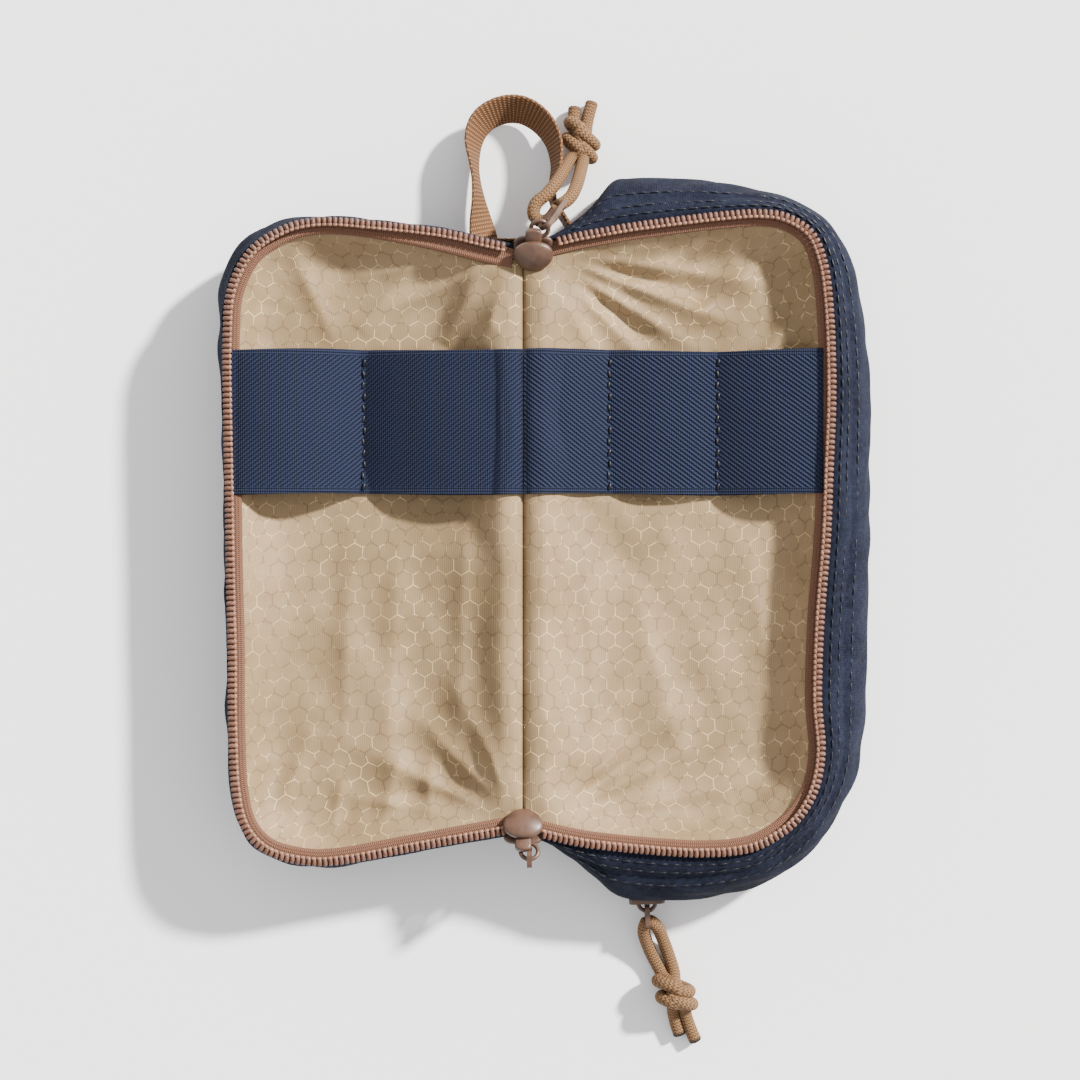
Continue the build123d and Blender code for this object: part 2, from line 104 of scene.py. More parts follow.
class Graph:
    def __init__(self, name):
        self.material = bpy.data.materials.new(name)
        self.material.use_nodes = True
        self.tree = self.material.node_tree
        self.tree.nodes.clear()

    def node(self, kind, settings=None, inputs=None, output=0):
        made = self.tree.nodes.new(kind)
        for key, value in (settings or {}).items():
            setattr(made, key, value)
        for key, value in (inputs or {}).items():
            self.feed(made.inputs[key], value)
        return Wire(self, made.outputs[output])

    def feed(self, socket, value):
        if isinstance(value, Wire):
            self.tree.links.new(value.socket, socket)
        elif value is not None:
            socket.default_value = value

    def blend(self, share, first, second):
        # colours mix by the share
        first = first if isinstance(first, Wire) else (*first, 1.0)
        second = second if isinstance(second, Wire) else (*second, 1.0)
        return self.node("ShaderNodeMix", {"data_type": "RGBA"}, {0: share, 6: first, 7: second}, 2)

    def noise(self, where, scale, detail=3.0, rough=0.55):
        inputs = {"Vector": where, "Scale": scale, "Detail": detail, "Roughness": rough}
        return self.node("ShaderNodeTexNoise", None, inputs)

    def place(self):
        # the piece's own coordinates, in millimetres
        where = self.node("ShaderNodeTexCoord", None, None, 3)
        return self.node("ShaderNodeVectorMath", {"operation": "SCALE"}, {0: where, 3: 1000.0})

    def uv(self):
        # the piece's own map, along and across its cloth, in millimetres
        return self.node("ShaderNodeTexCoord", None, None, 2)

    def parts(self, where):
        split = self.tree.nodes.new("ShaderNodeSeparateXYZ")
        self.feed(split.inputs[0], where)
        return [Wire(self, socket) for socket in split.outputs]

    def finish(self, colour, roughness, height=None, depth=0.1, **fixed):
        shader = self.tree.nodes.new("ShaderNodeBsdfPrincipled")
        self.feed(shader.inputs["Base Color"], colour if isinstance(colour, Wire) else (*colour, 1.0))
        self.feed(shader.inputs["Roughness"], roughness)
        for key, value in fixed.items():
            shader.inputs[key.replace("_", " ")].default_value = value
        if height is not None:
            inputs = {"Height": height, "Distance": depth * mm, "Strength": 1.0}
            bump = self.node("ShaderNodeBump", None, inputs)
            self.feed(shader.inputs["Normal"], bump)
        end = self.tree.nodes.new("ShaderNodeOutputMaterial")
        self.tree.links.new(shader.outputs[0], end.inputs[0])
        return self.material


def gridFaces(rows, columns, wrapRows, wrapColumns):
    # quads between neighbouring rows and columns, with the corner numbers before they wrap
    rowCount = rows if wrapRows else rows - 1
    columnCount = columns if wrapColumns else columns - 1
    i, j = np.meshgrid(np.arange(rowCount), np.arange(columnCount), indexing="ij")
    corners = np.stack([np.stack([i + a, j + b], -1) for a, b in ((0, 0), (1, 0), (1, 1), (0, 1))], 2)
    return corners.reshape(-1, 4, 2)


def meshPiece(name, points, numbers, material, places=None, smooth=True):
    # an object at the origin from points in millimetres, faces and each face corner's map place
    mesh = bpy.data.meshes.new(name)
    mesh.from_pydata((points.reshape(-1, 3) * mm).tolist(), [], numbers.tolist())
    if places is not None:
        mesh.uv_layers.new(name="map").data.foreach_set("uv", places.reshape(-1))
    mesh.polygons.foreach_set("use_smooth", np.full(len(mesh.polygons), smooth))
    mesh.materials.append(material)
    mesh.update()
    piece = bpy.data.objects.new(name, mesh)
    bpy.context.collection.objects.link(piece)
    return piece


def surface(name, grid, material, wrapRows=False, wrapColumns=False, uv=None, flip=False, smooth=True):
    # grid is rows by columns of points in millimetres; uv is rows by columns of map places
    rows, columns = grid.shape[:2]
    corners = gridFaces(rows, columns, wrapRows, wrapColumns)
    if flip:
        corners = corners[:, ::-1]
    numbers = (corners[..., 0] % rows) * columns + corners[..., 1] % columns
    places = None if uv is None else uv[corners[..., 0] % uv.shape[0], corners[..., 1] % uv.shape[1]]
    return meshPiece(name, grid, numbers, material, places, smooth)


def repeated(name, shape, faces, places, material):
    # one small shape copied to many places: places is a stack of 3 by 4 matrices in millimetres
    count = len(places)
    turned = np.einsum("nij,vj->nvi", places[:, :, :3], shape) + places[:, None, :, 3]
    offsets = np.arange(count)[:, None, None] * len(shape)
    numbers = (np.asarray(faces)[None] + offsets).reshape(-1, np.asarray(faces).shape[1])
    return meshPiece(name, turned, numbers, material)


def capsule(length, width, height, sides=8, rings=6):
    # superellipse roll along X with closed round ends
    t = np.linspace(0, math.pi, rings + 1)
    a = np.linspace(0, 2 * math.pi, sides, endpoint=False)
    along = -np.cos(t) * length / 2
    thick = np.sin(t) ** 0.6
    x = np.repeat(along[:, None], sides, 1)
    y = thick[:, None] * np.cos(a)[None] * width / 2
    z = thick[:, None] * np.sin(a)[None] * height / 2
    shape = np.stack([x, y, z], -1).reshape(-1, 3)
    corners = gridFaces(rings + 1, sides, False, True)
    numbers = corners[..., 0] * sides + corners[..., 1] % sides
    return shape, numbers[:, ::-1]


def spline(points, count, closed=False):
    # Catmull-Rom curve through the points, then evenly spaced along its length
    points = np.asarray(points, float)
    if closed:
        padded = np.vstack([points[-1:], points, points[:2]])
    else:
        padded = np.vstack([2 * points[0] - points[1], points, 2 * points[-1] - points[-2]])
    t = np.linspace(0, 1, 40, endpoint=False)[:, None]
    a, b, c, d = padded[:-3], padded[1:-2], padded[2:-1], padded[3:]
    parts = [
        0.5 * (2 * b[i] + (c[i] - a[i]) * t + (2 * a[i] - 5 * b[i] + 4 * c[i] - d[i]) * t**2
               + (3 * b[i] - a[i] - 3 * c[i] + d[i]) * t**3)
        for i in range(len(a))
    ]
    dense = np.vstack(parts + [padded[-2:-1] if not closed else padded[1:2]])
    return evenly(dense, count)


def evenly(line, count):
    # points evenly spaced along a polyline
    steps = np.linalg.norm(np.diff(line, axis=0), axis=1)
    along = np.concatenate([[0], np.cumsum(steps)])
    wanted = np.linspace(0, along[-1], count)
    return np.stack([np.interp(wanted, along, line[:, k]) for k in range(line.shape[1])], -1)


def lengthAlong(line):
    return np.concatenate([[0], np.cumsum(np.linalg.norm(np.diff(line, axis=0), axis=1))])


def tangents(line):
    ahead = np.gradient(line, axis=0)
    return ahead / np.linalg.norm(ahead, axis=1, keepdims=True)


def outward(line):
    # unit normals in plan to the right of a line that runs anticlockwise
    ahead = tangents(line)
    return np.stack([ahead[:, 1], -ahead[:, 0]], -1)


def smoothStep(x, low, high):
    t = np.clip((x - low) / (high - low), 0, 1)
    return t * t * (3 - 2 * t)


def ripples(x, y, seed, size, count=14):
    # soft random relief: the mean of sines with seeded directions and phases, about one size apart
    random = np.random.default_rng(seed)
    angle = random.uniform(0, 2 * math.pi, count)
    rate = 2 * math.pi / size * random.uniform(0.6, 1.5, count)
    phase = random.uniform(0, 2 * math.pi, count)
    total = np.zeros_like(x)
    for a, r, p in zip(angle, rate, phase):
        total += np.sin((x * math.cos(a) + y * math.sin(a)) * r + p)
    return total / math.sqrt(count)


def canvasMaterial(name, colour, light):
    # plain weave: two sets of threads cross, mottled where the dye is uneven
    graph = Graph(name)
    x, y, z = graph.parts(graph.place())
    warp = (x * 9.0 + z * 4.0).sine()
    weft = (y * 9.0 + z * 5.0).sine()
    mottle = graph.noise(graph.place(), 0.9, 6.0, 0.7)
    slub = graph.noise(graph.place(), 0.12, 3.0)
    shade = mottle.ramp(0.32, 0.72) * 0.6 + slub.ramp(0.35, 0.65) * 0.3 + warp * weft * 0.1
    tone = graph.blend(shade, colour, light)
    height = warp * weft * 0.5 + mottle * 1.6
    return graph.finish(tone, 0.9, height, 0.12, Specular_IOR_Level=0.12)


honeycomb = {"width": 4.7, "line": 0.036, "lineGrid": 0.62}


def liningMaterial():
    # each point is measured from the nearer of two staggered rows of hexagon centres
    graph = Graph("honeycombRipstop")
    u, v, rest = graph.parts(graph.uv())
    root = math.sqrt(3.0)
    x = u / honeycomb["width"]
    y = v / honeycomb["width"]
    firstX = x % 1.0 - 0.5
    firstY = y % root - root / 2
    nextX = (x + 0.5) % 1.0 - 0.5
    nextY = (y + root / 2) % root - root / 2
    nearer = (firstX * firstX + firstY * firstY) < (nextX * nextX + nextY * nextY)
    hexX = abs(nextX + (firstX - nextX) * nearer)
    hexY = abs(nextY + (firstY - nextY) * nearer)
    edge = 0.5 - hexX.most(hexX * 0.5 + hexY * (root / 2))
    line = edge.ramp(honeycomb["line"], honeycomb["line"] * 0.45)
    # painted sheen: random patches where the hexagon's thread lines are painted light as a painted highlight
    paintedSheen = graph.noise(graph.place(), 0.28, 2.0).ramp(0.44, 0.56)
    light = line * paintedSheen * graph.noise(graph.place(), 0.05, 2.0).ramp(0.35, 0.6, 0.35, 1.0)
    dark = edge.ramp(honeycomb["line"] * 1.9, honeycomb["line"] * 0.9)
    # the dark lines are the ripstop's own threads; outside the sheen patches they are painted darker as
    # painted shade
    dark = dark * (1.0 - light) * (0.35 + 0.65 * (1.0 - paintedSheen))
    fineLines = (u * (2 * math.pi / honeycomb["lineGrid"])).sine()
    soft = graph.noise(graph.place(), 0.035, 3.0)
    weave = graph.noise(graph.place(), 4.0, 2.0)
    tone = graph.blend(soft.ramp(0.35, 0.65), (0.215, 0.143, 0.072), (0.290, 0.197, 0.106))
    tone = graph.blend(fineLines.ramp(-1.0, 1.0, 0.0, 0.22), tone, (0.12, 0.070, 0.028))
    # painted highlight: the thread lines in the sheen patches turn cream, the others keep the dark thread
    # colour with its painted shade
    tone = graph.blend(light * 0.85, tone, (0.62, 0.44, 0.22))
    tone = graph.blend(dark * 0.36, tone, (0.070, 0.038, 0.013))
    height = light * 0.6 + dark * 0.3 + weave * 0.25 + fineLines * 0.12
    roughness = soft.ramp(0.3, 0.7, 0.54, 0.66) - light * 0.1
    return graph.finish(tone, roughness, height, 0.06, Specular_IOR_Level=0.22)


def tapeMaterial():
    # knitted zip tape: fine V stitches in columns along it
    graph = Graph("zipTapeKnit")
    u, v, rest = graph.parts(graph.uv())
    zigzag = abs((v / 0.9) % 1.0 - 0.5)
    stitch = ((u / 0.55 + zigzag * 1.2) * (2 * math.pi)).sine()
    column = (v * (2 * math.pi / 0.9)).sine()
    fuzz = graph.noise(graph.place(), 2.4, 4.0)
    tone = graph.blend(stitch.ramp(-1.0, 1.0) * 0.6 + fuzz * 0.4, (0.085, 0.036, 0.022), (0.23, 0.115, 0.072))
    return graph.finish(tone, 0.85, stitch * 0.5 + column * 0.3 + fuzz, 0.16, Specular_IOR_Level=0.15)


def nylonMaterial(name, colour, light):
    graph = Graph(name)
    cloud = graph.noise(graph.place(), 0.7, 3.0)
    tone = graph.blend(cloud.ramp(0.3, 0.7), colour, light)
    return graph.finish(tone, cloud.ramp(0.3, 0.7, 0.4, 0.55), cloud, 0.05, Specular_IOR_Level=0.3)


def enamelMaterial():
    # satin paint on cast metal, a little lighter where it is rubbed
    graph = Graph("sliderEnamel")
    grain = graph.noise(graph.place(), 2.2, 5.0)
    cloud = graph.noise(graph.place(), 0.25, 2.0)
    tone = graph.blend(cloud.ramp(0.35, 0.65), (0.062, 0.030, 0.018), (0.092, 0.046, 0.028))
    roughness = grain.ramp(0.3, 0.7, 0.34, 0.46)
    paint = {"Specular_IOR_Level": 0.4, "Coat_Weight": 0.08, "Coat_Roughness": 0.35}
    return graph.finish(tone, roughness, grain, 0.03, **paint)


elasticLook = {"pitch": 1.05, "slope": 0.72, "selvedge": 2.0, "width": 40.0}


def elasticMaterial():
    # diagonal ribs broken by the cross threads, plain narrow ribs at both selvedges
    graph = Graph("diagonalElastic")
    u, v, rest = graph.parts(graph.uv())
    steep = math.hypot(1.0, elasticLook["slope"])
    phase = (u * elasticLook["slope"] + v) / (elasticLook["pitch"] * steep) * (2 * math.pi)
    rib = phase.sine()
    cross = (u * (2 * math.pi / 0.62)).sine()
    fine = (v * (2 * math.pi / 0.5)).sine()
    edge = v.least(elasticLook["width"] - v)
    border = edge.ramp(elasticLook["selvedge"], elasticLook["selvedge"] * 0.8)
    edgeRib = (v * (2 * math.pi / 0.8)).sine()
    fuzz = graph.noise(graph.place(), 3.0, 4.0)
    height = (rib * 0.8 + cross * 0.25 + fine * 0.15) * (1.0 - border)
    height = height + (edgeRib * 0.5 + cross * 0.3) * border
    shade = height.ramp(-0.9, 1.1) * 0.75 + fuzz.ramp(0.3, 0.7) * 0.25
    tone = graph.blend(shade, (0.0030, 0.0042, 0.0110), (0.0205, 0.0272, 0.0590))
    return graph.finish(tone, 0.85, height + fuzz * 0.4, 0.24, Specular_IOR_Level=0.15)


def webbingMaterial():
    # ribs run across the strap, each of slanting threads
    graph = Graph("ribbedWebbing")
    u, v, rest = graph.parts(graph.uv())
    rib = (u * (2 * math.pi / 1.15)).sine()
    thread = ((v / 0.8 + u / 2.3) * (2 * math.pi)).sine()
    fuzz = graph.noise(graph.place(), 2.6, 4.0)
    cells = rib.ramp(-0.5, 0.7) * thread.ramp(-0.8, 0.6)
    tone = graph.blend(cells * 0.8 + fuzz * 0.2, (0.070, 0.028, 0.010), (0.33, 0.172, 0.080))
    return graph.finish(tone, 0.75, cells + fuzz * 0.3, 0.32, Specular_IOR_Level=0.2)


braid = {"cell": 1.0, "columns": 11.0, "tip": 1.7}


def cordMaterial(name, tipShare):
    # a braided sheath: slanting threads turn at each column; u is the distance from the cut end
    graph = Graph(name)
    u, v, rest = graph.parts(graph.uv())
    zigzag = abs((v * braid["columns"]) % 1.0 - 0.5) * 2.0
    cells = ((u / braid["cell"] + zigzag * 0.55) * (2 * math.pi)).sine()
    groove = zigzag.ramp(0.0, 0.25) * (1.0 - zigzag.ramp(0.8, 1.0) * 0.6)
    fuzz = graph.noise(graph.place(), 3.0, 3.0)
    relief = cells.ramp(-0.9, 0.6) * 0.7 + groove * 0.3
    tone = graph.blend(relief * 0.85 + fuzz * 0.15, (0.038, 0.017, 0.0065), (0.235, 0.125, 0.056))
    burnt = u.ramp(braid["tip"], braid["tip"] * 0.5) * tipShare
    tone = graph.blend(burnt, tone, (0.012, 0.010, 0.009))
    return graph.finish(tone, 0.75 - burnt * 0.35, relief + fuzz * 0.2, 0.28, Specular_IOR_Level=0.2)


def boardMaterial(name, colour, light, roughness):
    graph = Graph(name)
    grain = graph.noise(graph.place(), 0.8, 4.0)
    return graph.finish(graph.blend(grain, colour, light), roughness, grain, 0.05)


def floorMaterial():
    graph = Graph("paleFloor")
    cloud = graph.noise(graph.place(), 0.004, 2.0)
    return graph.finish(graph.blend(cloud, (0.92, 0.905, 0.905), (0.94, 0.93, 0.93)), 0.8)


navy = canvasMaterial("navyCanvas", (0.0032, 0.0041, 0.0095), (0.0148, 0.0178, 0.0330))
honey = liningMaterial()
knit = tapeMaterial()
coilNylon = nylonMaterial("coilNylon", (0.095, 0.042, 0.026), (0.155, 0.073, 0.048))
stitchRose = nylonMaterial("coilStitch", (0.17, 0.080, 0.050), (0.27, 0.140, 0.090))
# stitch thread painted darker than its own navy, as painted shade of the puckered cloth round each stitch
threadWithPaintedShade = nylonMaterial("threadWithPaintedShade", (0.0012, 0.0018, 0.004), (0.004, 0.005, 0.010))
enamel = enamelMaterial()
elasticCloth = elasticMaterial()
webbing = webbingMaterial()
board = boardMaterial("stiffenerBoard", (0.03, 0.03, 0.032), (0.05, 0.05, 0.052), 0.55)
print("materials made")


# the cords come first: each strand runs from the pull tab's eye through the knot to its cut end
cordLook = {
    "diameter": 3.6, "turnWide": 4.2, "turnHigh": 3.5, "slant": -2.2, "ringGap": 2.1,
    "around": 20, "step": 0.35,
}

topLeft = [
    (9.6, 91.6, 23.9), (8.0, 88.4, 22.8), (5.0, 87.2, 21.8), (2.6, 89.2, 21.0), (3.2, 92.8, 20.4),
    (6.2, 95.0, 19.6), (8.9, 98.4, 17.4), (11.2, 102.8, 12.8), (13.4, 107.4, 7.6),
]
topRight = [
    (9.6, 91.6, 23.9), (12.6, 93.2, 22.6), (14.6, 97.4, 19.0), (15.9, 102.4, 13.2), (16.9, 107.6, 6.8),
]
topLeftTail = [(14.6, 113.6, 4.6), (14.0, 117.6, 2.6), (14.4, 122.6, 1.85)]
topRightTail = [(17.4, 113.4, 5.0), (17.8, 118.4, 2.8), (19.4, 124.0, 1.85)]
rearLeft = [
    (34.8, -106.4, 7.4), (33.4, -109.2, 6.0), (34.4, -112.8, 4.0), (36.0, -116.9, 2.3),
    (37.9, -120.3, 1.85), (39.8, -124.0, 2.6),
]
rearRight = [
    (34.8, -106.4, 7.4), (37.3, -107.8, 6.4), (39.0, -111.9, 3.8), (41.0, -117.3, 1.85), (42.9, -123.4, 2.6),
]
rearLeftTail = [(42.0, -130.2, 4.2), (42.4, -135.0, 2.2), (44.2, -140.2, 1.85)]
rearRightTail = [(45.2, -130.4, 4.2), (46.0, -136.0, 2.2), (48.8, -142.0, 1.85)]


def knotTurn(centre, heading, offset, start, sweep):
    # one turn of the cord round the bundle: a circle across the heading, moved along it by the offset
    angle = math.radians(heading)
    ahead = np.array([math.cos(angle), math.sin(angle), 0.0])
    side = np.array([math.sin(angle), -math.cos(angle), 0.0])
    turn = np.radians(np.linspace(start, start + sweep, 14))[:, None]
    drift = np.linspace(-0.5, 0.5, 14)[:, None]
    ring = np.cos(turn) * side * cordLook["turnWide"] + np.sin(turn) * up * cordLook["turnHigh"]
    slant = cordLook["slant"] * np.cos(turn)
    return [tuple(p) for p in np.asarray(centre) + ahead * (offset + drift + slant) + ring]


def cordLine(name, points):
    # the centreline: a smooth curve with the route's points as its control points
    curve = bpy.data.curves.new(name, "CURVE")
    curve.dimensions = "3D"
    line = curve.splines.new("NURBS")
    line.points.add(len(points) - 1)
    line.points.foreach_set("co", np.hstack([np.array(points) * mm, np.ones((len(points), 1))]).reshape(-1))
    line.order_u = 3
    line.use_endpoint_u = True
    line.resolution_u = 12
    holder = bpy.data.objects.new(name, curve)
    bpy.context.collection.objects.link(holder)
    depsgraph = bpy.context.evaluated_depsgraph_get()
    mesh = bpy.data.meshes.new_from_object(holder.evaluated_get(depsgraph))
    places = np.zeros(len(mesh.vertices) * 3)
    mesh.vertices.foreach_get("co", places)
    bpy.data.objects.remove(holder)
    return places.reshape(-1, 3) / mm


def frames(line):
    # two directions across a line that turn with it as little as they can
    ahead = tangents(line)
    across = np.cross(ahead[0], up)
    result = []
    for direction in ahead:
        across = across - direction * across.dot(direction)
        across = across / np.linalg.norm(across)
        result.append(across)
    across = np.array(result)
    return across, np.cross(ahead, across)


def tube(name, line, radius, material, around, tipLength):
    # circles carried along the line, with rounded ends; u is the distance from the far end
    across, over = frames(line)
    length = lengthAlong(line)
    fromEnd = length[-1] - length
    blunt = np.minimum(np.minimum(length, fromEnd) / tipLength, 1.0)
    size = radius * np.sqrt(1 - (1 - blunt) ** 2 * 0.97)
    turn = np.linspace(0, 2 * math.pi, around, endpoint=False)
    rings = line[:, None] + size[:, None, None] * (
        across[:, None] * np.cos(turn)[None, :, None] + over[:, None] * np.sin(turn)[None, :, None]
    )
    ends = [np.repeat(line[:1, None], around, 1), rings, np.repeat(line[-1:, None], around, 1)]
    grid = np.concatenate(ends, 0)
    u = np.concatenate([fromEnd[:1], fromEnd, fromEnd[-1:]])
    uv = np.stack(np.broadcast_arrays(u[:, None], np.linspace(0, 1, around + 1)[None]), -1)
    return surface(name, grid, material, wrapColumns=True, uv=uv, flip=True)


def makeCord(name, route, turn, tail, nodes, body, tipShare):
    line = cordLine(name, route + turn + tail)
    line = evenly(line, int(lengthAlong(line)[-1] / cordLook["step"]))
    total = lengthAlong(line)[-1]
    radius = cordLook["diameter"] / 2
    material = cordMaterial(name + "Braid", tipShare)
    cord = tube(name, line, radius, material, cordLook["around"], 0.7)
    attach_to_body(cord, body)
    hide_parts(*nodes)
    print(name, "length", round(total, 1))
    return cord


def makeCords():
    gap = cordLook["ringGap"]
    topKnot = (16.0, 112.2, 5.3)
    rearKnot = (42.6, -127.4, 5.3)
    topNodes = ("top_cord_strands", "top_cord_knot", "top_cord_tails")
    rearNodes = ("rear_cord_strands", "rear_cord_knot", "rear_cord_tails")
    makeCord("topCordLeft", topLeft, knotTurn(topKnot, 78.0, -gap, 70.0, 375.0), topLeftTail,
             topNodes, "top_puller", 0.35)
    makeCord("topCordRight", topRight, knotTurn(topKnot, 78.0, gap, 110.0, -375.0), topRightTail,
             topNodes, "top_puller", 0.35)
    makeCord("rearCordLeft", rearLeft, knotTurn(rearKnot, -78.0, -gap, 110.0, -375.0), rearLeftTail,
             rearNodes, "rear_puller", 1.0)
    makeCord("rearCordRight", rearRight, knotTurn(rearKnot, -78.0, gap, 70.0, 375.0), rearRightTail,
             rearNodes, "rear_puller", 1.0)


placeCamera()
makeCords()
print("cords made")


# outlines: each row holds a place on the zip's outer edge and the belly outside it
pocketEdge = [
    (1.5, -81.0, 1.0, -82.0), (6, -82.0, 6.5, -84.2), (10, -83, 12.5, -88), (16, -84.2, 19.5, -93.5),
    (22, -85, 25, -98.6), (32, -86, 32.5, -100.6), (41, -86.7, 41, -100.9), (48, -87, 51, -99.9),
    (57, -86.6, 63, -97.3), (65, -84.8, 73, -92.8), (73, -80, 82.5, -84.5), (78, -74.5, 88.5, -75),
    (81.5, -67, 92.6, -66), (82.9, -57, 94.6, -55), (81.9, -43, 95.7, -43), (82.6, -21.6, 96.2, -21),
    (84.3, 0, 96.6, 0), (85.1, 20, 96.8, 20), (85.8, 38.5, 96.7, 40), (85.6, 54, 95.7, 55),
    (84.9, 66, 94.2, 66), (83.5, 76, 92, 76.5), (80, 84.4, 86.5, 87), (73, 89.3, 77, 94),
    (65, 90.7, 68, 97.2), (54, 90, 56, 99.4), (45, 89, 46, 100.7), (37, 88, 37, 101.2),
    (29, 86.9, 29.5, 101.0), (21, 85.5, 24.6, 99.8), (14, 84.2, 18.5, 92.5), (6.8, 82.4, 11, 86),
    (4, 81.6, 5, 83.2), (1.5, 81.0, 1.0, 82.0),
]
coverEdge = [
    (-1.5, -80.2, -1.5, -80.6), (-6, -81, -6, -81.4), (-28, -85, -28, -85.4), (-50, -89, -50, -89.4),
    (-61, -89, -61.4, -89.5), (-71, -86, -71.4, -86.4), (-77.4, -79, -77.9, -79.3),
    (-80.1, -68, -80.7, -68.1), (-80.9, -50, -81.5, -50), (-81.0, -30, -81.6, -30),
    (-81.5, -10, -82.1, -10), (-81.8, 10, -82.4, 10),
    (-82.3, 35, -82.9, 35), (-82.4, 55, -83.7, 55.5), (-81.2, 68.6, -83.6, 70.0), (-75.6, 79.6, -78.0, 81.8),
    (-66, 86.2, -67.4, 88.0), (-55.5, 88.5, -55.9, 89.2), (-42, 87.7, -42.2, 88.1), (-22.7, 85.5, -23, 85.8),
    (-8, 82.2, -8, 82.5), (-1.5, 80.8, -1.5, 81.1),
]
halves = {
    "pocket": {"edge": spline(pocketEdge, 720), "side": 1.0, "body": "pocket_half"},
    "cover": {"edge": spline(coverEdge, 640), "side": -1.0, "body": "cover_half"},
}
for half in halves.values():
    half["rim"] = half["edge"][:, :2]
    half["belly"] = half["edge"][:, 2:]
    half["outward"] = outward(half["rim"]) * half["side"]


def tidy(piece):
    # rows that close to a point are welded and all faces turned outwards
    work = bmesh.new()
    work.from_mesh(piece.data)
    bmesh.ops.remove_doubles(work, verts=work.verts, dist=1e-7)
    bmesh.ops.recalc_face_normals(work, faces=work.faces)
    work.to_mesh(piece.data)
    work.free()
    return piece


def swept(name, rings, material):
    # closed sections one after another, both ends closed to their middles; the map runs along and around
    middle = lengthAlong(rings.mean(1))
    around = np.linalg.norm(np.diff(np.concatenate([rings[0], rings[0][:1]]), axis=0), axis=1)
    around = np.concatenate([[0], np.cumsum(around)])
    ends = [np.broadcast_to(ring.mean(0), ring.shape)[None] for ring in (rings[0], rings[-1])]
    grid = np.concatenate([ends[0], rings, ends[1]])
    along = np.concatenate([middle[:1], middle, middle[-1:]])
    uv = np.stack(np.broadcast_arrays(along[:, None], around[None]), -1)
    return tidy(surface(name, grid, material, wrapColumns=True, uv=uv))


def profile(points, count):
    # a smooth closed section that stays above the ground
    section = spline(points, count + 1, closed=True)[:-1]
    section[:, 1] = np.maximum(section[:, 1], 0.03)
    return section


def walled(half, section):
    # section points give the share of the way from the zip to the belly, and the height
    share, height = section[:, 0], section[:, 1]
    rim, belly = half["rim"][:, None], half["belly"][:, None]
    place = rim + (belly - rim) * share[None, :, None]
    tall = np.broadcast_to(height[None, :, None], place.shape[:2] + (1,))
    return np.concatenate([place, tall], -1)


def edged(half, section, start, stop, wider=1.0):
    # section points give the distance outwards from the zip's outer edge, and the height
    offset = section[None, :, :1] * np.reshape(wider, (-1, 1, 1))
    rim = half["rim"][start:stop, None] + half["outward"][start:stop, None] * offset
    tall = np.broadcast_to(section[None, :, 1:], rim.shape[:2] + (1,))
    return np.concatenate([rim, tall], -1)


def attach(piece, body, slot, *nodes):
    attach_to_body(piece, body)
    if nodes:
        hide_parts(*nodes)
    return piece


def crumpled(rings, seed, height, size):
    # cloth walls get a soft random bulge along and up
    x, y, z = np.moveaxis(rings, -1, 0)
    lift = ripples(x + z * 1.7, y + z * 1.3, seed, size) * height
    centre = rings.mean(1, keepdims=True)
    away = np.moveaxis(np.array([x, y]) / np.maximum(np.hypot(x, y), 1.0), 0, -1)
    moved = rings.copy()
    moved[..., :2] += away * lift[..., None]
    return moved


shellLook = {"crease": 0.28, "creaseSize": 16.0, "stitchPitch": 3.3, "stitchSize": (2.5, 0.62, 0.5)}

pocketUpperSection = profile([
    (-0.12, 22.9), (0.03, 23.75), (0.14, 23.7), (0.28, 22.9), (0.40, 21.7), (0.455, 20.6), (0.50, 20.9),
    (0.62, 19.9), (0.78, 17.6), (0.92, 14.4), (0.99, 11.6), (0.985, 10.1), (0.93, 9.9), (0.88, 12.5),
    (0.70, 16.4), (0.40, 19.0), (0.10, 21.6), (-0.12, 22.2),
], 46)
pocketLowerSection = profile([
    (0.975, 4.9), (0.99, 4.3), (0.975, 2.6), (0.93, 0.9), (0.86, 0.12), (0.70, 0.06), (0.70, 0.9),
    (0.84, 1.5), (0.90, 3.0), (0.92, 4.7),
], 26)
coverSection = profile([
    (-1.2, 22.9), (-0.4, 23.3), (0.1, 22.9), (0.35, 20.0), (0.5, 14.0), (0.4, 8.0), (0.0, 3.0),
    (-0.7, 0.7), (-1.8, 0.06), (-3.4, 0.06), (-3.2, 1.2), (-1.8, 2.4), (-1.1, 8.0), (-1.0, 14.0),
    (-1.2, 20.0), (-1.5, 21.8),
], 44)


def makeShell():
    pocket, cover = halves["pocket"], halves["cover"]
    upper = crumpled(walled(pocket, pocketUpperSection), 5, shellLook["crease"], shellLook["creaseSize"])
    attach(swept("pocketShell", upper, navy), "pocket_half", "shell_canvas",
           "pocket_gusset_upper", "pocket_padding")
    lower = walled(pocket, pocketLowerSection)
    attach(swept("pocketShellFoot", lower, navy), "pocket_half", "shell_canvas", "pocket_gusset_lower")
    wall = edged(cover, coverSection, 0, len(cover["rim"]))
    tall = coverSection[:, 1]
    share = (smoothStep(tall, 0.0, 14.0) * (1 - 0.85 * smoothStep(tall, 17.0, 23.0)))[None, :, None]
    wall[..., :2] += (cover["belly"] - cover["rim"])[:, None] * share
    wall = crumpled(wall, 9, shellLook["crease"], shellLook["creaseSize"])
    attach(swept("coverShell", wall, navy), "cover_half", "shell_canvas", "cover_gusset", "cover_padding")


def along(line, upward, pitch):
    # places at an even pitch: columns are ahead, across and the local upward, then the place
    lengths = lengthAlong(line)
    wanted = (np.arange(int(lengths[-1] / pitch)) + 0.5) * pitch
    place, ahead, lift = (
        np.stack([np.interp(wanted, lengths, values[:, k]) for k in range(3)], -1)
        for values in (line, tangents(line), upward)
    )
    ahead /= np.linalg.norm(ahead, axis=1, keepdims=True)
    across = np.cross(lift, ahead)
    across /= np.linalg.norm(across, axis=1, keepdims=True)
    lift = np.cross(ahead, across)
    return np.stack([ahead, across, lift, place], -1)


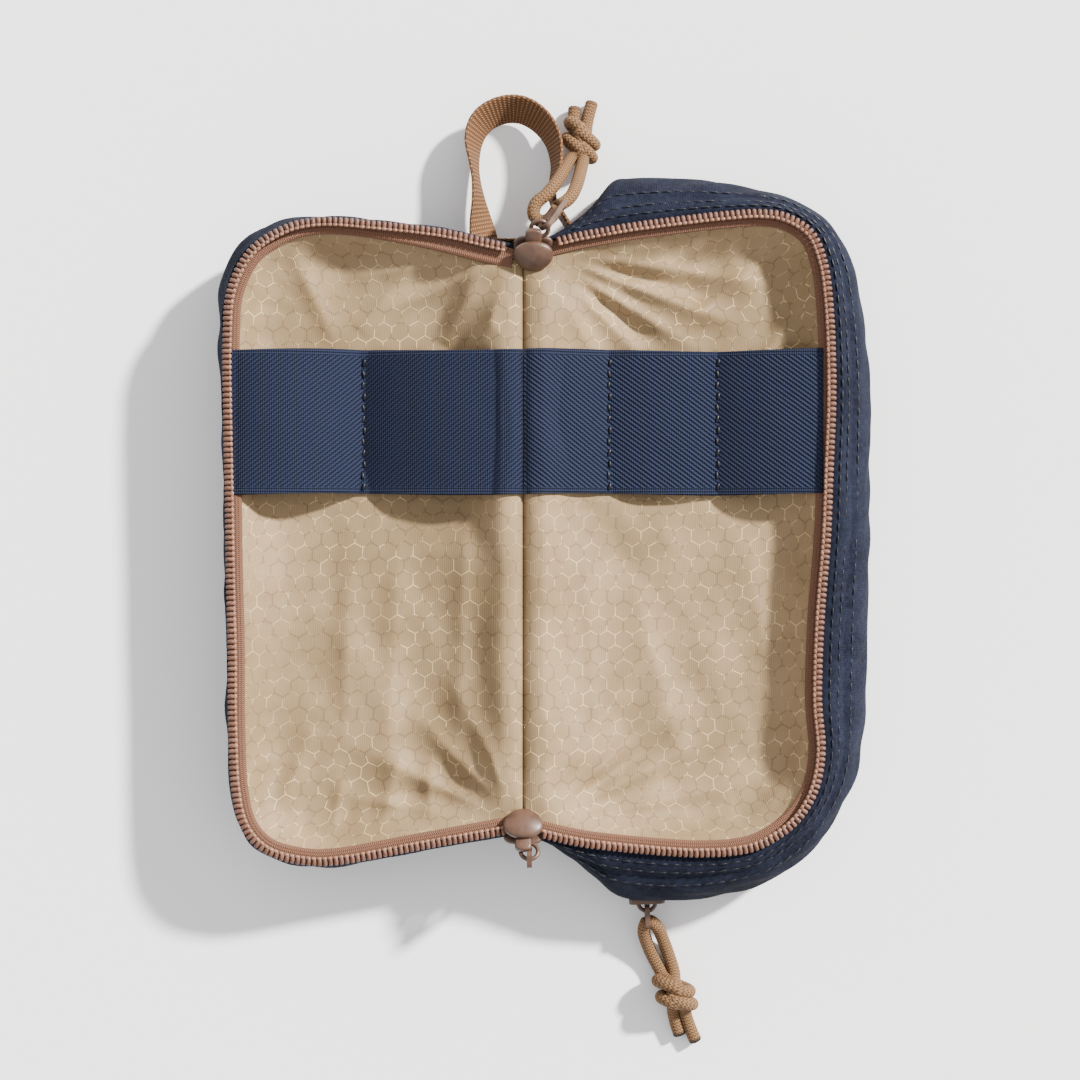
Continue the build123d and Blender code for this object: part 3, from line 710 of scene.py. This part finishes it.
def shellStitches():
    # three rows of thread on the cloth beside the zip: each row's share outwards and height
    pocket = halves["pocket"]
    shares = np.array([[0.16, 23.62], [0.33, 22.45], [0.60, 20.15]])
    above = shares + np.array([[0.05, 0.35], [0.09, 0.35], [0.10, 0.35]])
    rows = walled(pocket, shares)
    lifted = walled(pocket, above)
    shape, faces = capsule(*shellLook["stitchSize"], 6, 4)
    places = []
    for row in range(3):
        line = rows[24:-24, row]
        upward = lifted[24:-24, row] - line
        places.append(along(line, upward, shellLook["stitchPitch"]))
    # these stitches carry painted shade: their dark colour stands for the shadow of the puckers round them
    piece = repeated("shellStitches", shape, faces, np.concatenate(places), threadWithPaintedShade)
    attach(piece, "pocket_half", "thread")


# one height for the whole open tray, so that the halves and the crease between them meet
tray = {
    "floor": 14.5, "edge": 22.7, "edgeReach": 6.0, "hump": 24.2, "humpPlace": 5.2, "humpReach": 10.0,
    "crease": 22.3, "creaseWidth": 1.9, "creaseGap": 0.22, "creaseStrip": 2.6, "creaseDrop": 0.75,
    "tapeInset": 3.6, "foldGain": 1.75, "highest": 24.6,
}
# gathers beside the zip: each has a height, a pitch, how its pitch wanders and how far in it fades
gathers = [(0.42, 10.5, 1.4, 17.0, 6.0), (0.25, 5.3, 2.0, 23.0, 4.0)]


def rays(x, y, centre, folds):
    # ridges spreading from a point: each has a heading in degrees, a height, a width in degrees and its reach
    dx, dy = x - centre[0], y - centre[1]
    angle = np.degrees(np.arctan2(dy, dx))
    away = np.hypot(dx, dy)
    total = np.zeros_like(x)
    for heading, height, width, near, far in folds:
        turn = (angle - heading + 180) % 360 - 180
        rise = smoothStep(away, near, near + 14) * (1 - smoothStep(away, far - 22, far))
        spread = width * (1 + 9.0 / np.maximum(away, 3.0))
        total += height * rise * np.exp(-np.abs(turn / spread) ** 1.5)
    return total


def creases(x, y, start, end, height, width):
    # a soft straight ridge between two places, fading at its ends
    start, end = np.array(start, float), np.array(end, float)
    length = np.linalg.norm(end - start)
    ahead = (end - start) / length
    down = (x - start[0]) * ahead[0] + (y - start[1]) * ahead[1]
    off = (x - start[0]) * ahead[1] - (y - start[1]) * ahead[0]
    fade = np.sin(np.clip(down / length, 0, 1) * math.pi) ** 0.6
    return height * fade * np.exp(-np.abs(off / width) ** 1.6)


topFolds = [
    (-8, 1.1, 3.2, 8, 72), (-20, 1.7, 3.6, 8, 66), (-31, 1.5, 3.4, 10, 58), (-44, 1.3, 4.2, 12, 52),
    (-60, 1.0, 5.0, 10, 44), (-14, -0.9, 3.0, 14, 60), (-37, -0.8, 3.0, 14, 50),
    (-172, 0.9, 3.6, 8, 60), (-158, 1.2, 4.4, 10, 52), (-140, 1.1, 5.0, 10, 44), (-120, 0.9, 5.0, 10, 44),
]
bottomFolds = [
    (12, 1.1, 3.8, 8, 66), (27, 1.2, 4.0, 10, 58), (42, 1.4, 4.4, 10, 62), (57, 1.1, 5.0, 12, 66),
    (34, -0.7, 3.0, 16, 52), (170, 1.0, 3.6, 8, 62), (155, 1.2, 4.4, 10, 58), (136, 1.2, 5.0, 12, 52),
    (118, 0.9, 5.0, 10, 60),
]
straightFolds = [
    ((74, 84), (34, 50), 0.9, 2.6), ((82, 66), (52, 30), 0.8, 3.0), ((84, 78), (60, 40), 0.8, 2.4),
    ((60, 88), (22, 66), 1.0, 2.6), ((44, 87), (20, 74), 0.9, 2.2), ((60, -84), (78, -60), 0.9, 3.0),
    ((30, -10), (44, -62), 0.7, 4.0), ((62, 4), (70, -58), 0.6, 4.0), ((16, 8), (20, -52), 0.6, 3.5),
    ((-34, 8), (-38, -70), 1.0, 4.5), ((-48, 6), (-50, -60), 0.7, 4.0), ((-70, 8), (-72, -56), 0.7, 3.5),
    ((-16, 8), (-18, -58), 0.7, 3.5), ((-24, 84), (-46, 58), 0.8, 3.0), ((-66, 84), (-52, 54), 0.8, 3.0),
    ((-10, 78), (-22, 54), 0.9, 3.0), ((-70, -80), (-58, -52), 0.9, 3.2), ((-40, -84), (-34, -58), 0.9, 3.0),
    ((-54, -86), (-50, -66), 0.8, 2.4), ((-26, -82), (-26, -60), 0.8, 2.6),
]


def rimDistance(x, y):
    # distance from the nearest zip, and the place along it
    best = np.full(x.shape, 1e9)
    where = np.zeros(x.shape)
    for half in halves.values():
        line = half["rim"][::3]
        lengths = lengthAlong(half["rim"])[::3]
        for (px, py), length in zip(line, lengths):
            gap = (x - px) ** 2 + (y - py) ** 2
            closer = gap < best
            best = np.where(closer, gap, best)
            where = np.where(closer, length, where)
    return np.sqrt(best), where


def trayHeight(x, y):
    inside, where = rimDistance(x, y)
    inside = np.maximum(inside - tray["tapeInset"], 0)
    share = np.exp(-(inside / tray["edgeReach"]) ** 1.7)
    away = np.abs(x)
    past = np.maximum(away - tray["humpPlace"], 0)
    hump = np.exp(-(past / tray["humpReach"]) ** 1.6)
    valley = (tray["hump"] - tray["crease"]) * np.exp(-(away / tray["creaseWidth"]) ** 1.4)
    base = tray["floor"] + (tray["hump"] - tray["floor"]) * hump - valley
    base += 0.35 * ripples(x, y, 3, 60.0)
    folds = rays(x, y, (3.0, 80.0), topFolds) + rays(x, y, (2.0, -80.0), bottomFolds)
    for start, end, height, width in straightFolds:
        folds += creases(x, y, start, end, height, width)
    folds += 0.26 * ripples(x, y, 11, 26.0) + 0.05 * ripples(x, y, 17, 10.0)
    calm = smoothStep(away, 0.5, 9.0) * tray["foldGain"]
    gather = np.zeros_like(x)
    for height, pitch, wander, period, fade in gathers:
        wave = np.sin(where * (2 * math.pi / pitch) + wander * np.sin(where / period))
        gather += height * wave * np.exp(-inside / fade)
    tall = base + (folds * calm + gather * smoothStep(away, 3.0, 9.0)) * smoothStep(inside, 0.0, 6.0)
    height = tall + (tray["edge"] - tall) * share
    return np.minimum(height, tray["highest"])


def coons(bottom, top, inner, outer):
    # fills between four edges; bottom and top run across, inner and outer run up
    u = np.linspace(0, 1, len(bottom))[:, None, None]
    v = np.linspace(0, 1, len(inner))[None, :, None]
    across = (1 - v) * bottom[:, None] + v * top[:, None]
    upright = (1 - u) * inner[None] + u * outer[None]
    corners = (1 - u) * ((1 - v) * bottom[0] + v * top[0]) + u * ((1 - v) * bottom[-1] + v * top[-1])
    return across + upright - corners


def cloth(name, plan, material, thickness, flip, drop=0.0):
    # the sheet over a plan grid; its map is measured along the cloth from the middle row and column
    height = trayHeight(plan[..., 0], plan[..., 1]) - drop
    grid = np.concatenate([plan, height[..., None]], -1)
    stepsU = np.linalg.norm(np.diff(grid, axis=0), axis=-1)
    stepsV = np.linalg.norm(np.diff(grid, axis=1), axis=-1)
    u = np.concatenate([np.zeros((1, grid.shape[1])), np.cumsum(stepsU, 0)])
    v = np.concatenate([np.zeros((grid.shape[0], 1)), np.cumsum(stepsV, 1)], 1)
    v = v - v[:, v.shape[1] // 2][:, None]
    uv = np.stack([u + abs(plan[:1, :, 0]), v], -1)
    piece = surface(name, grid, material, uv=uv, flip=flip)
    thick = piece.modifiers.new("thickness", "SOLIDIFY")
    thick.thickness = thickness * mm
    thick.offset = -1.0
    return piece


def liningPlan(half, across, upward):
    # the rim moved in under the tape, split at the places where its corners turn most
    side = half["side"]
    inset = 0.8 + (tray["tapeInset"] - 1.4) * smoothStep(np.abs(half["rim"][:, :1]), 5.0, 15.0)
    line = half["rim"] - half["outward"] * inset
    line = line[(line[:, 0] * side > 2.4) & (np.abs(line[:, 1]) < 95)]
    spread = line[:, 0] * side
    low = np.argmax(spread - line[:, 1])
    high = np.argmax(spread + line[:, 1])
    inner = np.array([line[0], line[-1]])
    inner[:, 0] = tray["creaseGap"] * side
    bottom = evenly(np.vstack([inner[:1], line[: low + 1]]), across)
    outer = evenly(line[low: high + 1], upward)
    top = evenly(np.vstack([inner[1:], line[high:][::-1]]), across)
    spine = evenly(inner, upward)
    return coons(bottom, top, spine, outer)


def makeLinings():
    for name, half in halves.items():
        plan = liningPlan(half, 120, 236)
        piece = cloth(name + "Lining", plan, honey, 0.7, half["side"] < 0)
        attach(piece, half["body"], "lining_ripstop", name + "_lining")
    x = np.linspace(-tray["creaseStrip"], tray["creaseStrip"], 17)
    y = np.linspace(-76.6, 76.6, 236)
    plan = np.stack(np.meshgrid(x, y, indexing="ij"), -1)
    strip = cloth("spineCrease", plan, honey, 0.4, False, tray["creaseDrop"])
    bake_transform(strip)
    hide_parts("spine_fold")


spineLook = {"top": 20.2, "wall": 1.0, "reach": 79.0, "pocketFace": 0.05, "coverFace": -0.85, "around": 24}


def makeSpine():
    # an upright wall on each half and a loose strip between their tops
    top, wall, reach = spineLook["top"], spineLook["wall"], spineLook["reach"]
    y = np.linspace(-reach, reach, 120)[:, None]
    around, left, right = spineLook["around"], spineLook["coverFace"], spineLook["pocketFace"]
    for name, near, far in (("pocket", right, wall), ("cover", left, left - wall)):
        section = [(near, 0.3), (near, 10.0), (near, top), (far, top), (far, 10.0), (far, 0.3)]
        section = profile(section, around)
        rings = np.stack(np.broadcast_arrays(section[None, :, 0], y, section[None, :, 1]), -1)
        attach(swept(name + "SpineWall", rings, navy), name + "_half", "shell_canvas", name + "_spine_panel")
    section = profile([
        (-1.85, 19.8), (-0.4, 20.0), (1.0, 19.8), (1.0, 20.5), (-0.4, 20.7), (-1.85, 20.5),
    ], around)
    rings = np.stack(np.broadcast_arrays(section[None, :, 0], y, section[None, :, 1]), -1)
    strip = swept("spineCloth", rings, navy)
    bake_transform(strip)


zipLook = {
    "pitch": 1.5, "toothLength": 2.6, "toothWidth": 1.44, "toothHeight": 1.9, "coilHeight": 24.55,
    "stitchInset": 2.2, "stitchRise": 0.42, "stitchSize": (1.5, 1.05, 0.9), "tapeInner": 4.5,
    "rearStart": 27.0, "rearHeight": 7.4, "rearInner": 0.84, "rearOuter": 0.90, "rearTeeth": 0.91,
    "rearToothLength": 2.5, "rearToothHeight": 1.7,
}
coilEnds = {"pocket": (4.8, 8.2), "cover": (-4.6, -3.6)}


def ropeLine(half, inset, height, bottomX, topX):
    # the rim moved in, cut where the sliders stand
    line = half["rim"] - half["outward"] * inset
    side = half["side"]
    lowEnd = (line[:, 1] < 0) & (line[:, 0] * side < bottomX * side)
    highEnd = (line[:, 1] > 0) & (line[:, 0] * side < topX * side)
    line = line[~(lowEnd | highEnd)]
    return np.hstack([line, np.full((len(line), 1), height)])


def makeZips():
    for name, half in halves.items():
        ends = coilEnds[name]
        teeth = ropeLine(half, zipLook["toothLength"] / 2, zipLook["coilHeight"], *ends)
        upward = np.broadcast_to(up, (len(teeth), 3))
        shape, faces = capsule(zipLook["toothLength"], zipLook["toothWidth"], zipLook["toothHeight"], 8, 6)
        places = along(teeth, upward, zipLook["pitch"])[:, :, [1, 0, 2, 3]]
        coil = repeated(name + "Coil", shape, faces, places, coilNylon)
        tidy(coil)
        attach(coil, half["body"], "zip_coil", name + "_zip_coil", name + "_zip_stops")
        row = ropeLine(half, zipLook["stitchInset"], zipLook["coilHeight"] + zipLook["stitchRise"], *ends)
        shape, faces = capsule(*zipLook["stitchSize"], 8, 4)
        upward = np.broadcast_to(up, row.shape)
        places = along(row, upward, zipLook["pitch"])
        stitches = repeated(name + "CoilStitch", shape, faces, places, stitchRose)
        attach(tidy(stitches), half["body"], "zip_coil")
        section = profile([
            (-1.0, 22.75), (-1.0, 23.45), (-3.2, 23.55), (-zipLook["tapeInner"], 23.25),
            (-zipLook["tapeInner"], 22.6), (-3.2, 22.7),
        ], 22)
        x, y = half["rim"][1:-1].T
        wider = 1 + 0.42 * smoothStep(x, -48.0, -14.0) * (x < 0) * (y > 0)
        rings = edged(half, section, 1, -1, wider)
        attach(swept(name + "Tape", rings, knit), half["body"], "zip_tape", name + "_zip_tape")


def makeRearZip():
    pocket = halves["pocket"]
    zipped = pocket["belly"][:, 0] > zipLook["rearStart"]
    inner, outer, middle = zipLook["rearInner"], zipLook["rearOuter"], zipLook["rearHeight"]
    for side, low, high in (("Upper", 8.3, 10.3), ("Lower", 4.5, 6.5)):
        section = profile([(outer, low), (outer, high), (inner, high), (inner, low)], 16)
        piece = swept("rearTape" + side, walled(pocket, section)[zipped], knit)
        attach(piece, "pocket_half", "zip_tape", "rear_zip_tape_" + side.lower())
    # plain cloth closes the slit between the zip's ends and the spine
    section = profile([(0.965, 4.4), (0.965, 10.6), (0.86, 10.6), (0.86, 4.4)], 16)
    x, y = pocket["belly"].T
    for name, end in (("Bottom", y < 0), ("Top", y > 0)):
        rings = crumpled(walled(pocket, section)[(x < 28.5) & end], 5, 0.2, shellLook["creaseSize"])
        attach(swept("rearCloth" + name, rings, navy), "pocket_half", "shell_canvas")
    line = walled(pocket, np.array([[zipLook["rearTeeth"], middle]]))[zipped, 0]
    away = walled(pocket, np.array([[1.2, middle]]))[zipped, 0] - line
    away /= np.linalg.norm(away, axis=1, keepdims=True)
    size = zipLook["rearToothLength"], zipLook["toothWidth"], zipLook["rearToothHeight"]
    shape, faces = capsule(*size, 8, 6)
    places = along(line, away, zipLook["pitch"])[:, :, [1, 0, 2, 3]]
    piece = tidy(repeated("rearCoil", shape, faces, places, coilNylon))
    attach(piece, "pocket_half", "zip_coil", "rear_zip_coil")


# sewn lines across each half's band, and how high it stands between them
bandLook = {
    "low": 12.6, "high": 52.4, "thickness": 0.9, "rows": 260, "columns": 40, "mapColumn": 10,
    "threadSize": (2.3, 1.0, 0.8), "threadPitch": 3.2,
}
bandLines = {"pocket": (0.2, 23.8, 53.8, 80.6), "cover": (-0.2, -44.3, -78.4)}
bandArches = {"pocket": (1.5, 2.2, 2.0), "cover": (4.0, 4.6)}


def bandHeight(x, y, lines, arches):
    # between two sewn lines the band stands up in an arch
    lines = np.array(lines)
    seat = trayHeight(np.abs(lines) * np.sign(lines), np.full(len(lines), 32.0)) + 0.35
    order = np.argsort(lines)
    seated = np.interp(x, lines[order], seat[order])
    lift = np.zeros_like(x)
    for start, end, arch in zip(lines[:-1], lines[1:], arches):
        share = np.clip((x - start) / (end - start), 0, 1)
        lift += arch * np.sin(share * math.pi) ** 0.85
    across = (y - bandLook["low"]) / (bandLook["high"] - bandLook["low"])
    sag = 1 - 0.12 * np.cos(across * math.pi) ** 2
    return seated + lift * sag + 0.05 * ripples(x, y, 31, 14.0)


def flatMap(piece, line):
    # the map seen from above: u is the length along a line that runs with X, v the distance from the low edge
    points = np.zeros(len(piece.data.vertices) * 3)
    piece.data.vertices.foreach_get("co", points)
    index = np.zeros(len(piece.data.loops), int)
    piece.data.loops.foreach_get("vertex_index", index)
    place = points.reshape(-1, 3)[index] / mm
    order = np.argsort(line[:, 0])
    u = np.interp(place[:, 0], line[order, 0], lengthAlong(line)[order])
    uv = np.stack([u, place[:, 1] - bandLook["low"]], -1)
    piece.data.uv_layers[0].data.foreach_set("uv", uv.reshape(-1))
    print(piece.name, "cut length", round(lengthAlong(line)[-1], 1))


def makeBands():
    for name, half in halves.items():
        lines, arches = bandLines[name], bandArches[name]
        x = np.linspace(lines[0], lines[-1] + half["side"] * 1.6, bandLook["rows"])
        turn = np.linspace(0, 2 * math.pi, bandLook["columns"] * 2, endpoint=False)
        share = np.clip(-np.cos(turn) * 1.02, -1, 1) * 0.5 + 0.5
        bend = 0.3 * np.sin(x / 11.0)
        y = bandLook["low"] + (bandLook["high"] - bandLook["low"]) * share[None] + bend[:, None]
        x = np.broadcast_to(x[:, None], y.shape)
        upper = np.maximum(bandHeight(x, y, lines, arches), trayHeight(x, y) + 0.25)
        skin = bandLook["thickness"] / 2 * np.clip(np.sin(turn) * 4, -1, 1)
        rings = np.stack([x, y, upper + bandLook["thickness"] / 2 + skin[None]], -1)
        piece = swept(name + "Elastic", rings, elasticCloth)
        flatMap(piece, rings[:, bandLook["mapColumn"]])
        attach(piece, half["body"], "elastic_webbing", name + "_elastic")
        bandThread(name, half, lines, arches)


def bandThread(name, half, lines, arches):
    shape, faces = capsule(*bandLook["threadSize"], 6, 4)
    places = []
    for line in lines[1:-1]:
        y = np.linspace(bandLook["low"] + 0.6, bandLook["high"] - 0.6, 60)
        x = line + 0.25 * np.sin(y * 1.3)
        z = bandHeight(np.full(60, float(line)), y, lines, arches) + 1.15
        row = np.stack([x, y, np.maximum(z, trayHeight(np.full(60, float(line)), y) + 1.35)], -1)
        places.append(along(row, np.broadcast_to(up, row.shape), bandLook["threadPitch"]))
    # the band's stitches share the thread colour that includes painted shade
    piece = repeated(name + "BandThread", shape, faces, np.concatenate(places), threadWithPaintedShade)
    attach(tidy(piece), half["body"], "thread", name + "_elastic_stitches")


sliderLook = {
    "width": 10.8, "length": 8.8, "gap": 2.2, "plate": 1.5, "dome": 1.3, "tilt": 34.0,
    "top": (2.8, 78.6, 23.8), "bottom": (0.0, 78.6, 23.8),
}


def tilted(points, place, side):
    # the slider's own frame: tilted about X, then mirrored for the bottom one
    angle = math.radians(sliderLook["tilt"])
    x, y, z = np.moveaxis(points, -1, 0)
    across, high = math.cos(angle), math.sin(angle)
    turned = np.stack([x, y * across - z * high, y * high + z * across], -1) + np.array(place)
    turned[..., 1] *= side
    return turned


def button(width, length, low, high, dome, squareness):
    # a flat plate with soft edges and a domed top: rings from the top's middle to the bottom's middle
    turn = np.linspace(0, 2 * math.pi, 48, endpoint=False)
    radius = np.array([0.0, 0.2, 0.4, 0.6, 0.76, 0.88, 0.95, 0.985, 1.0, 1.0, 0.985, 0.94, 0.6, 0.0])
    thick = high - low
    drop = np.array([0, 0, 0, 0, 0, 0, 0.07, 0.16, 0.3, 0.7, 0.86, 0.97, 1.0, 1.0])
    z = high - thick * drop + dome * (1 - radius**2) * (drop < 0.5)
    power = 2.0 / squareness
    x = np.sign(np.cos(turn)) * np.abs(np.cos(turn)) ** power * (1 + 0.13 * np.sin(turn)) * width / 2
    y = np.sign(np.sin(turn)) * np.abs(np.sin(turn)) ** power * length / 2
    return np.stack([radius[:, None] * x, radius[:, None] * y, np.broadcast_to(z[:, None], (14, 48))], -1)


def hoop(centre, radius, wire):
    # a closed ring of round wire in the plate's plane
    turn = np.linspace(0, 2 * math.pi, 40, endpoint=False)[:, None]
    small = np.linspace(0, 2 * math.pi, 12, endpoint=False)[None]
    x = np.cos(turn) * (radius + wire * np.cos(small))
    y = np.sin(turn) * (radius + wire * np.cos(small))
    z = np.broadcast_to(wire * np.sin(small), x.shape)
    return np.stack([x, y, z], -1) + np.array(centre)


def makeSliders():
    gap, plate = sliderLook["gap"], sliderLook["plate"]
    width, length = sliderLook["width"], sliderLook["length"]
    for name, side in (("top", 1.0), ("bottom", -1.0)):
        parts = {
            "Button": (button(width, length, gap / 2, gap / 2 + plate, sliderLook["dome"], 2.0), False),
            "Neck": (button(4.2, 3.8, -gap / 2 - 0.3, gap / 2 + 0.3, 0.0, 4.0) + [0, 2.4, 0], False),
            "Nose": (button(4.4, 5.6, -0.9, 1.0, 0.25, 3.2) + [0, 4.6, 0], False),
            "Back": (button(width, length, -gap / 2 - 1.4, -gap / 2, 0.0, 3.2), False),
            "Bail": (hoop((1.7, 6.6, -1.75), 2.4, 0.62), True),
        }
        for part, (grid, wraps) in parts.items():
            grid = tilted(grid, sliderLook[name], side)
            piece = tidy(surface(name + "Slider" + part, grid, enamel, wrapRows=wraps, wrapColumns=True))
            attach(piece, "pocket_half", "slider_enamel", name + "_slider")


# the carry loop: each row holds a place in plan, the lower edge's height and the lean outwards in degrees
loopRows = [
    (-7.4, 84.6, 6.0, 44), (-8.2, 87.4, 6.0, 46), (-9.6, 91.4, 5.0, 34), (-11.2, 96.0, 4.0, 18),
    (-12.6, 101.5, 2.6, 9), (-12.9, 106.3, 1.8, 13), (-12.0, 111.6, 1.4, 27), (-9.6, 115.6, 1.2, 38),
    (-5.6, 117.7, 1.2, 42), (-1.3, 117.8, 1.4, 42), (3.0, 115.4, 2.0, 36), (6.4, 111.2, 3.0, 26),
    (7.9, 105.8, 4.0, 16), (7.6, 101.0, 5.2, 12), (7.2, 97.0, 6.0, 9), (8.2, 93.4, 5.0, 6),
    (10.4, 90.4, 4.0, 5), (12.2, 87.8, 3.6, 4), (13.2, 86.2, 3.4, 4),
]
loopLook = {"width": 9.8, "thickness": 1.35}


def makeLoop():
    rows = spline(loopRows, 190)
    centre = rows[:, :2]
    ahead = tangents(centre)
    side = np.stack([-ahead[:, 1], ahead[:, 0]], -1)
    lean = np.radians(rows[:, 3])
    wide = np.stack([side[:, 0] * np.sin(lean), side[:, 1] * np.sin(lean), np.cos(lean)], -1)
    thin = np.stack([side[:, 0] * np.cos(lean), side[:, 1] * np.cos(lean), -np.sin(lean)], -1)
    low = np.hstack([centre, rows[:, 2:3]])
    turn = np.linspace(0, 2 * math.pi, 28, endpoint=False)
    across = np.sign(np.cos(turn)) * np.abs(np.cos(turn)) ** 0.35 * 0.5 + 0.5
    deep = np.sign(np.sin(turn)) * np.abs(np.sin(turn)) ** 0.55 * 0.5
    rings = low[:, None] + wide[:, None] * (across * loopLook["width"])[None, :, None]
    rings = rings + thin[:, None] * (deep * loopLook["thickness"])[None, :, None]
    attach(swept("carryLoop", rings, webbing), "pocket_half", "carry_webbing", "carry_loop")
    # the strip its ends are sewn to, along the wall under the zip
    x = np.linspace(-9.0, 12.0, 30)[:, None]
    section = profile([(82.9, 3.2), (82.9, 12.8), (84.0, 12.8), (84.0, 3.2)], 20)
    rings = np.stack(np.broadcast_arrays(x, section[None, :, 0], section[None, :, 1]), -1)
    attach(swept("loopAnchor", rings, webbing), "pocket_half", "carry_webbing", "carry_loop_anchor")


def panel(name, half, low, high, share, inset, material):
    # from the middle out to the edge below, up, and back to the middle
    rim = half["rim"] + (half["belly"] - half["rim"]) * share - half["outward"] * inset
    rim = rim[::2]
    middle = rim.mean(0) * np.array([1.0, 0.0])
    rows = [np.broadcast_to(middle, rim.shape), rim, rim, np.broadcast_to(middle, rim.shape)]
    heights = [low, low, high, high]
    grid = np.stack([np.hstack([row, np.full((len(row), 1), h)]) for row, h in zip(rows, heights)])
    return tidy(surface(name, grid, material, wrapColumns=True, smooth=False))


panels = {
    "pocket_base_panel": ("pocket", 0.02, 1.2, 0.80, 0.0, "shell_canvas"),
    "pocket_stiffener": ("pocket", 1.25, 2.6, 0.72, 0.0, "stiffener_board"),
    "rear_pocket_outer_lining": ("pocket", 2.65, 3.6, 0.78, 0.0, "lining_ripstop"),
    "rear_pocket_inner_lining": ("pocket", 3.9, 4.8, 0.78, 0.0, "lining_ripstop"),
    "pocket_divider_board": ("pocket", 4.9, 6.3, 0.72, 0.0, "stiffener_board"),
    "cover_base_panel": ("cover", 0.02, 1.2, 0.0, 2.4, "shell_canvas"),
    "cover_stiffener": ("cover", 1.25, 2.6, 0.0, 3.6, "stiffener_board"),
}


def makePanels():
    materials = {"shell_canvas": navy, "stiffener_board": board, "lining_ripstop": honey}
    for node, (name, low, high, share, inset, slot) in panels.items():
        half = halves[name]
        words = node.split("_")
        title = words[0] + "".join(word.capitalize() for word in words[1:]) + "Sheet"
        piece = panel(title, half, low, high, share, inset, materials[slot])
        attach(piece, half["body"], slot, node)


def dressHardParts():
    # the tabs and the rear slider keep their own shape and get paint
    for name in ("top_pull_tab", "bottom_pull_tab", "rear_slider", "rear_pull_tab"):
        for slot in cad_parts[name].material_slots:
            slot.material = enamel


lighting = {
    "sun": 13.5, "sunAngle": 4.5, "travel": (-33.5, -25.0, -26.0), "sky": 1.15, "floorReach": 900.0,
}


def makeFloor():
    x = np.linspace(-lighting["floorReach"], lighting["floorReach"], 3)
    grid = np.stack(np.meshgrid(x, x, indexing="ij") + [np.full((3, 3), -0.05)], -1)
    floor = surface("floor", grid, floorMaterial(), smooth=False)


def makeLight():
    sun = bpy.data.lights.new("sun", "SUN")
    sun.energy = lighting["sun"]
    sun.angle = math.radians(lighting["sunAngle"])
    sun.color = (1.0, 0.985, 0.96)
    holder = bpy.data.objects.new("sun", sun)
    holder.rotation_euler = Vector(lighting["travel"]).to_track_quat("-Z", "Y").to_euler()
    bpy.context.collection.objects.link(holder)
    world = bpy.data.worlds.new("studio")
    world.use_nodes = True
    background = world.node_tree.nodes["Background"]
    background.inputs["Color"].default_value = (0.97, 0.98, 1.0, 1.0)
    background.inputs["Strength"].default_value = lighting["sky"]
    bpy.context.scene.world = world


makeShell()
shellStitches()
print("shell made")
makeLinings()
makeSpine()
print("linings made")
makeZips()
makeRearZip()
print("zips made")
makeBands()
makeSliders()
makeLoop()
makePanels()
dressHardParts()
makeFloor()
makeLight()
print("all pieces made")
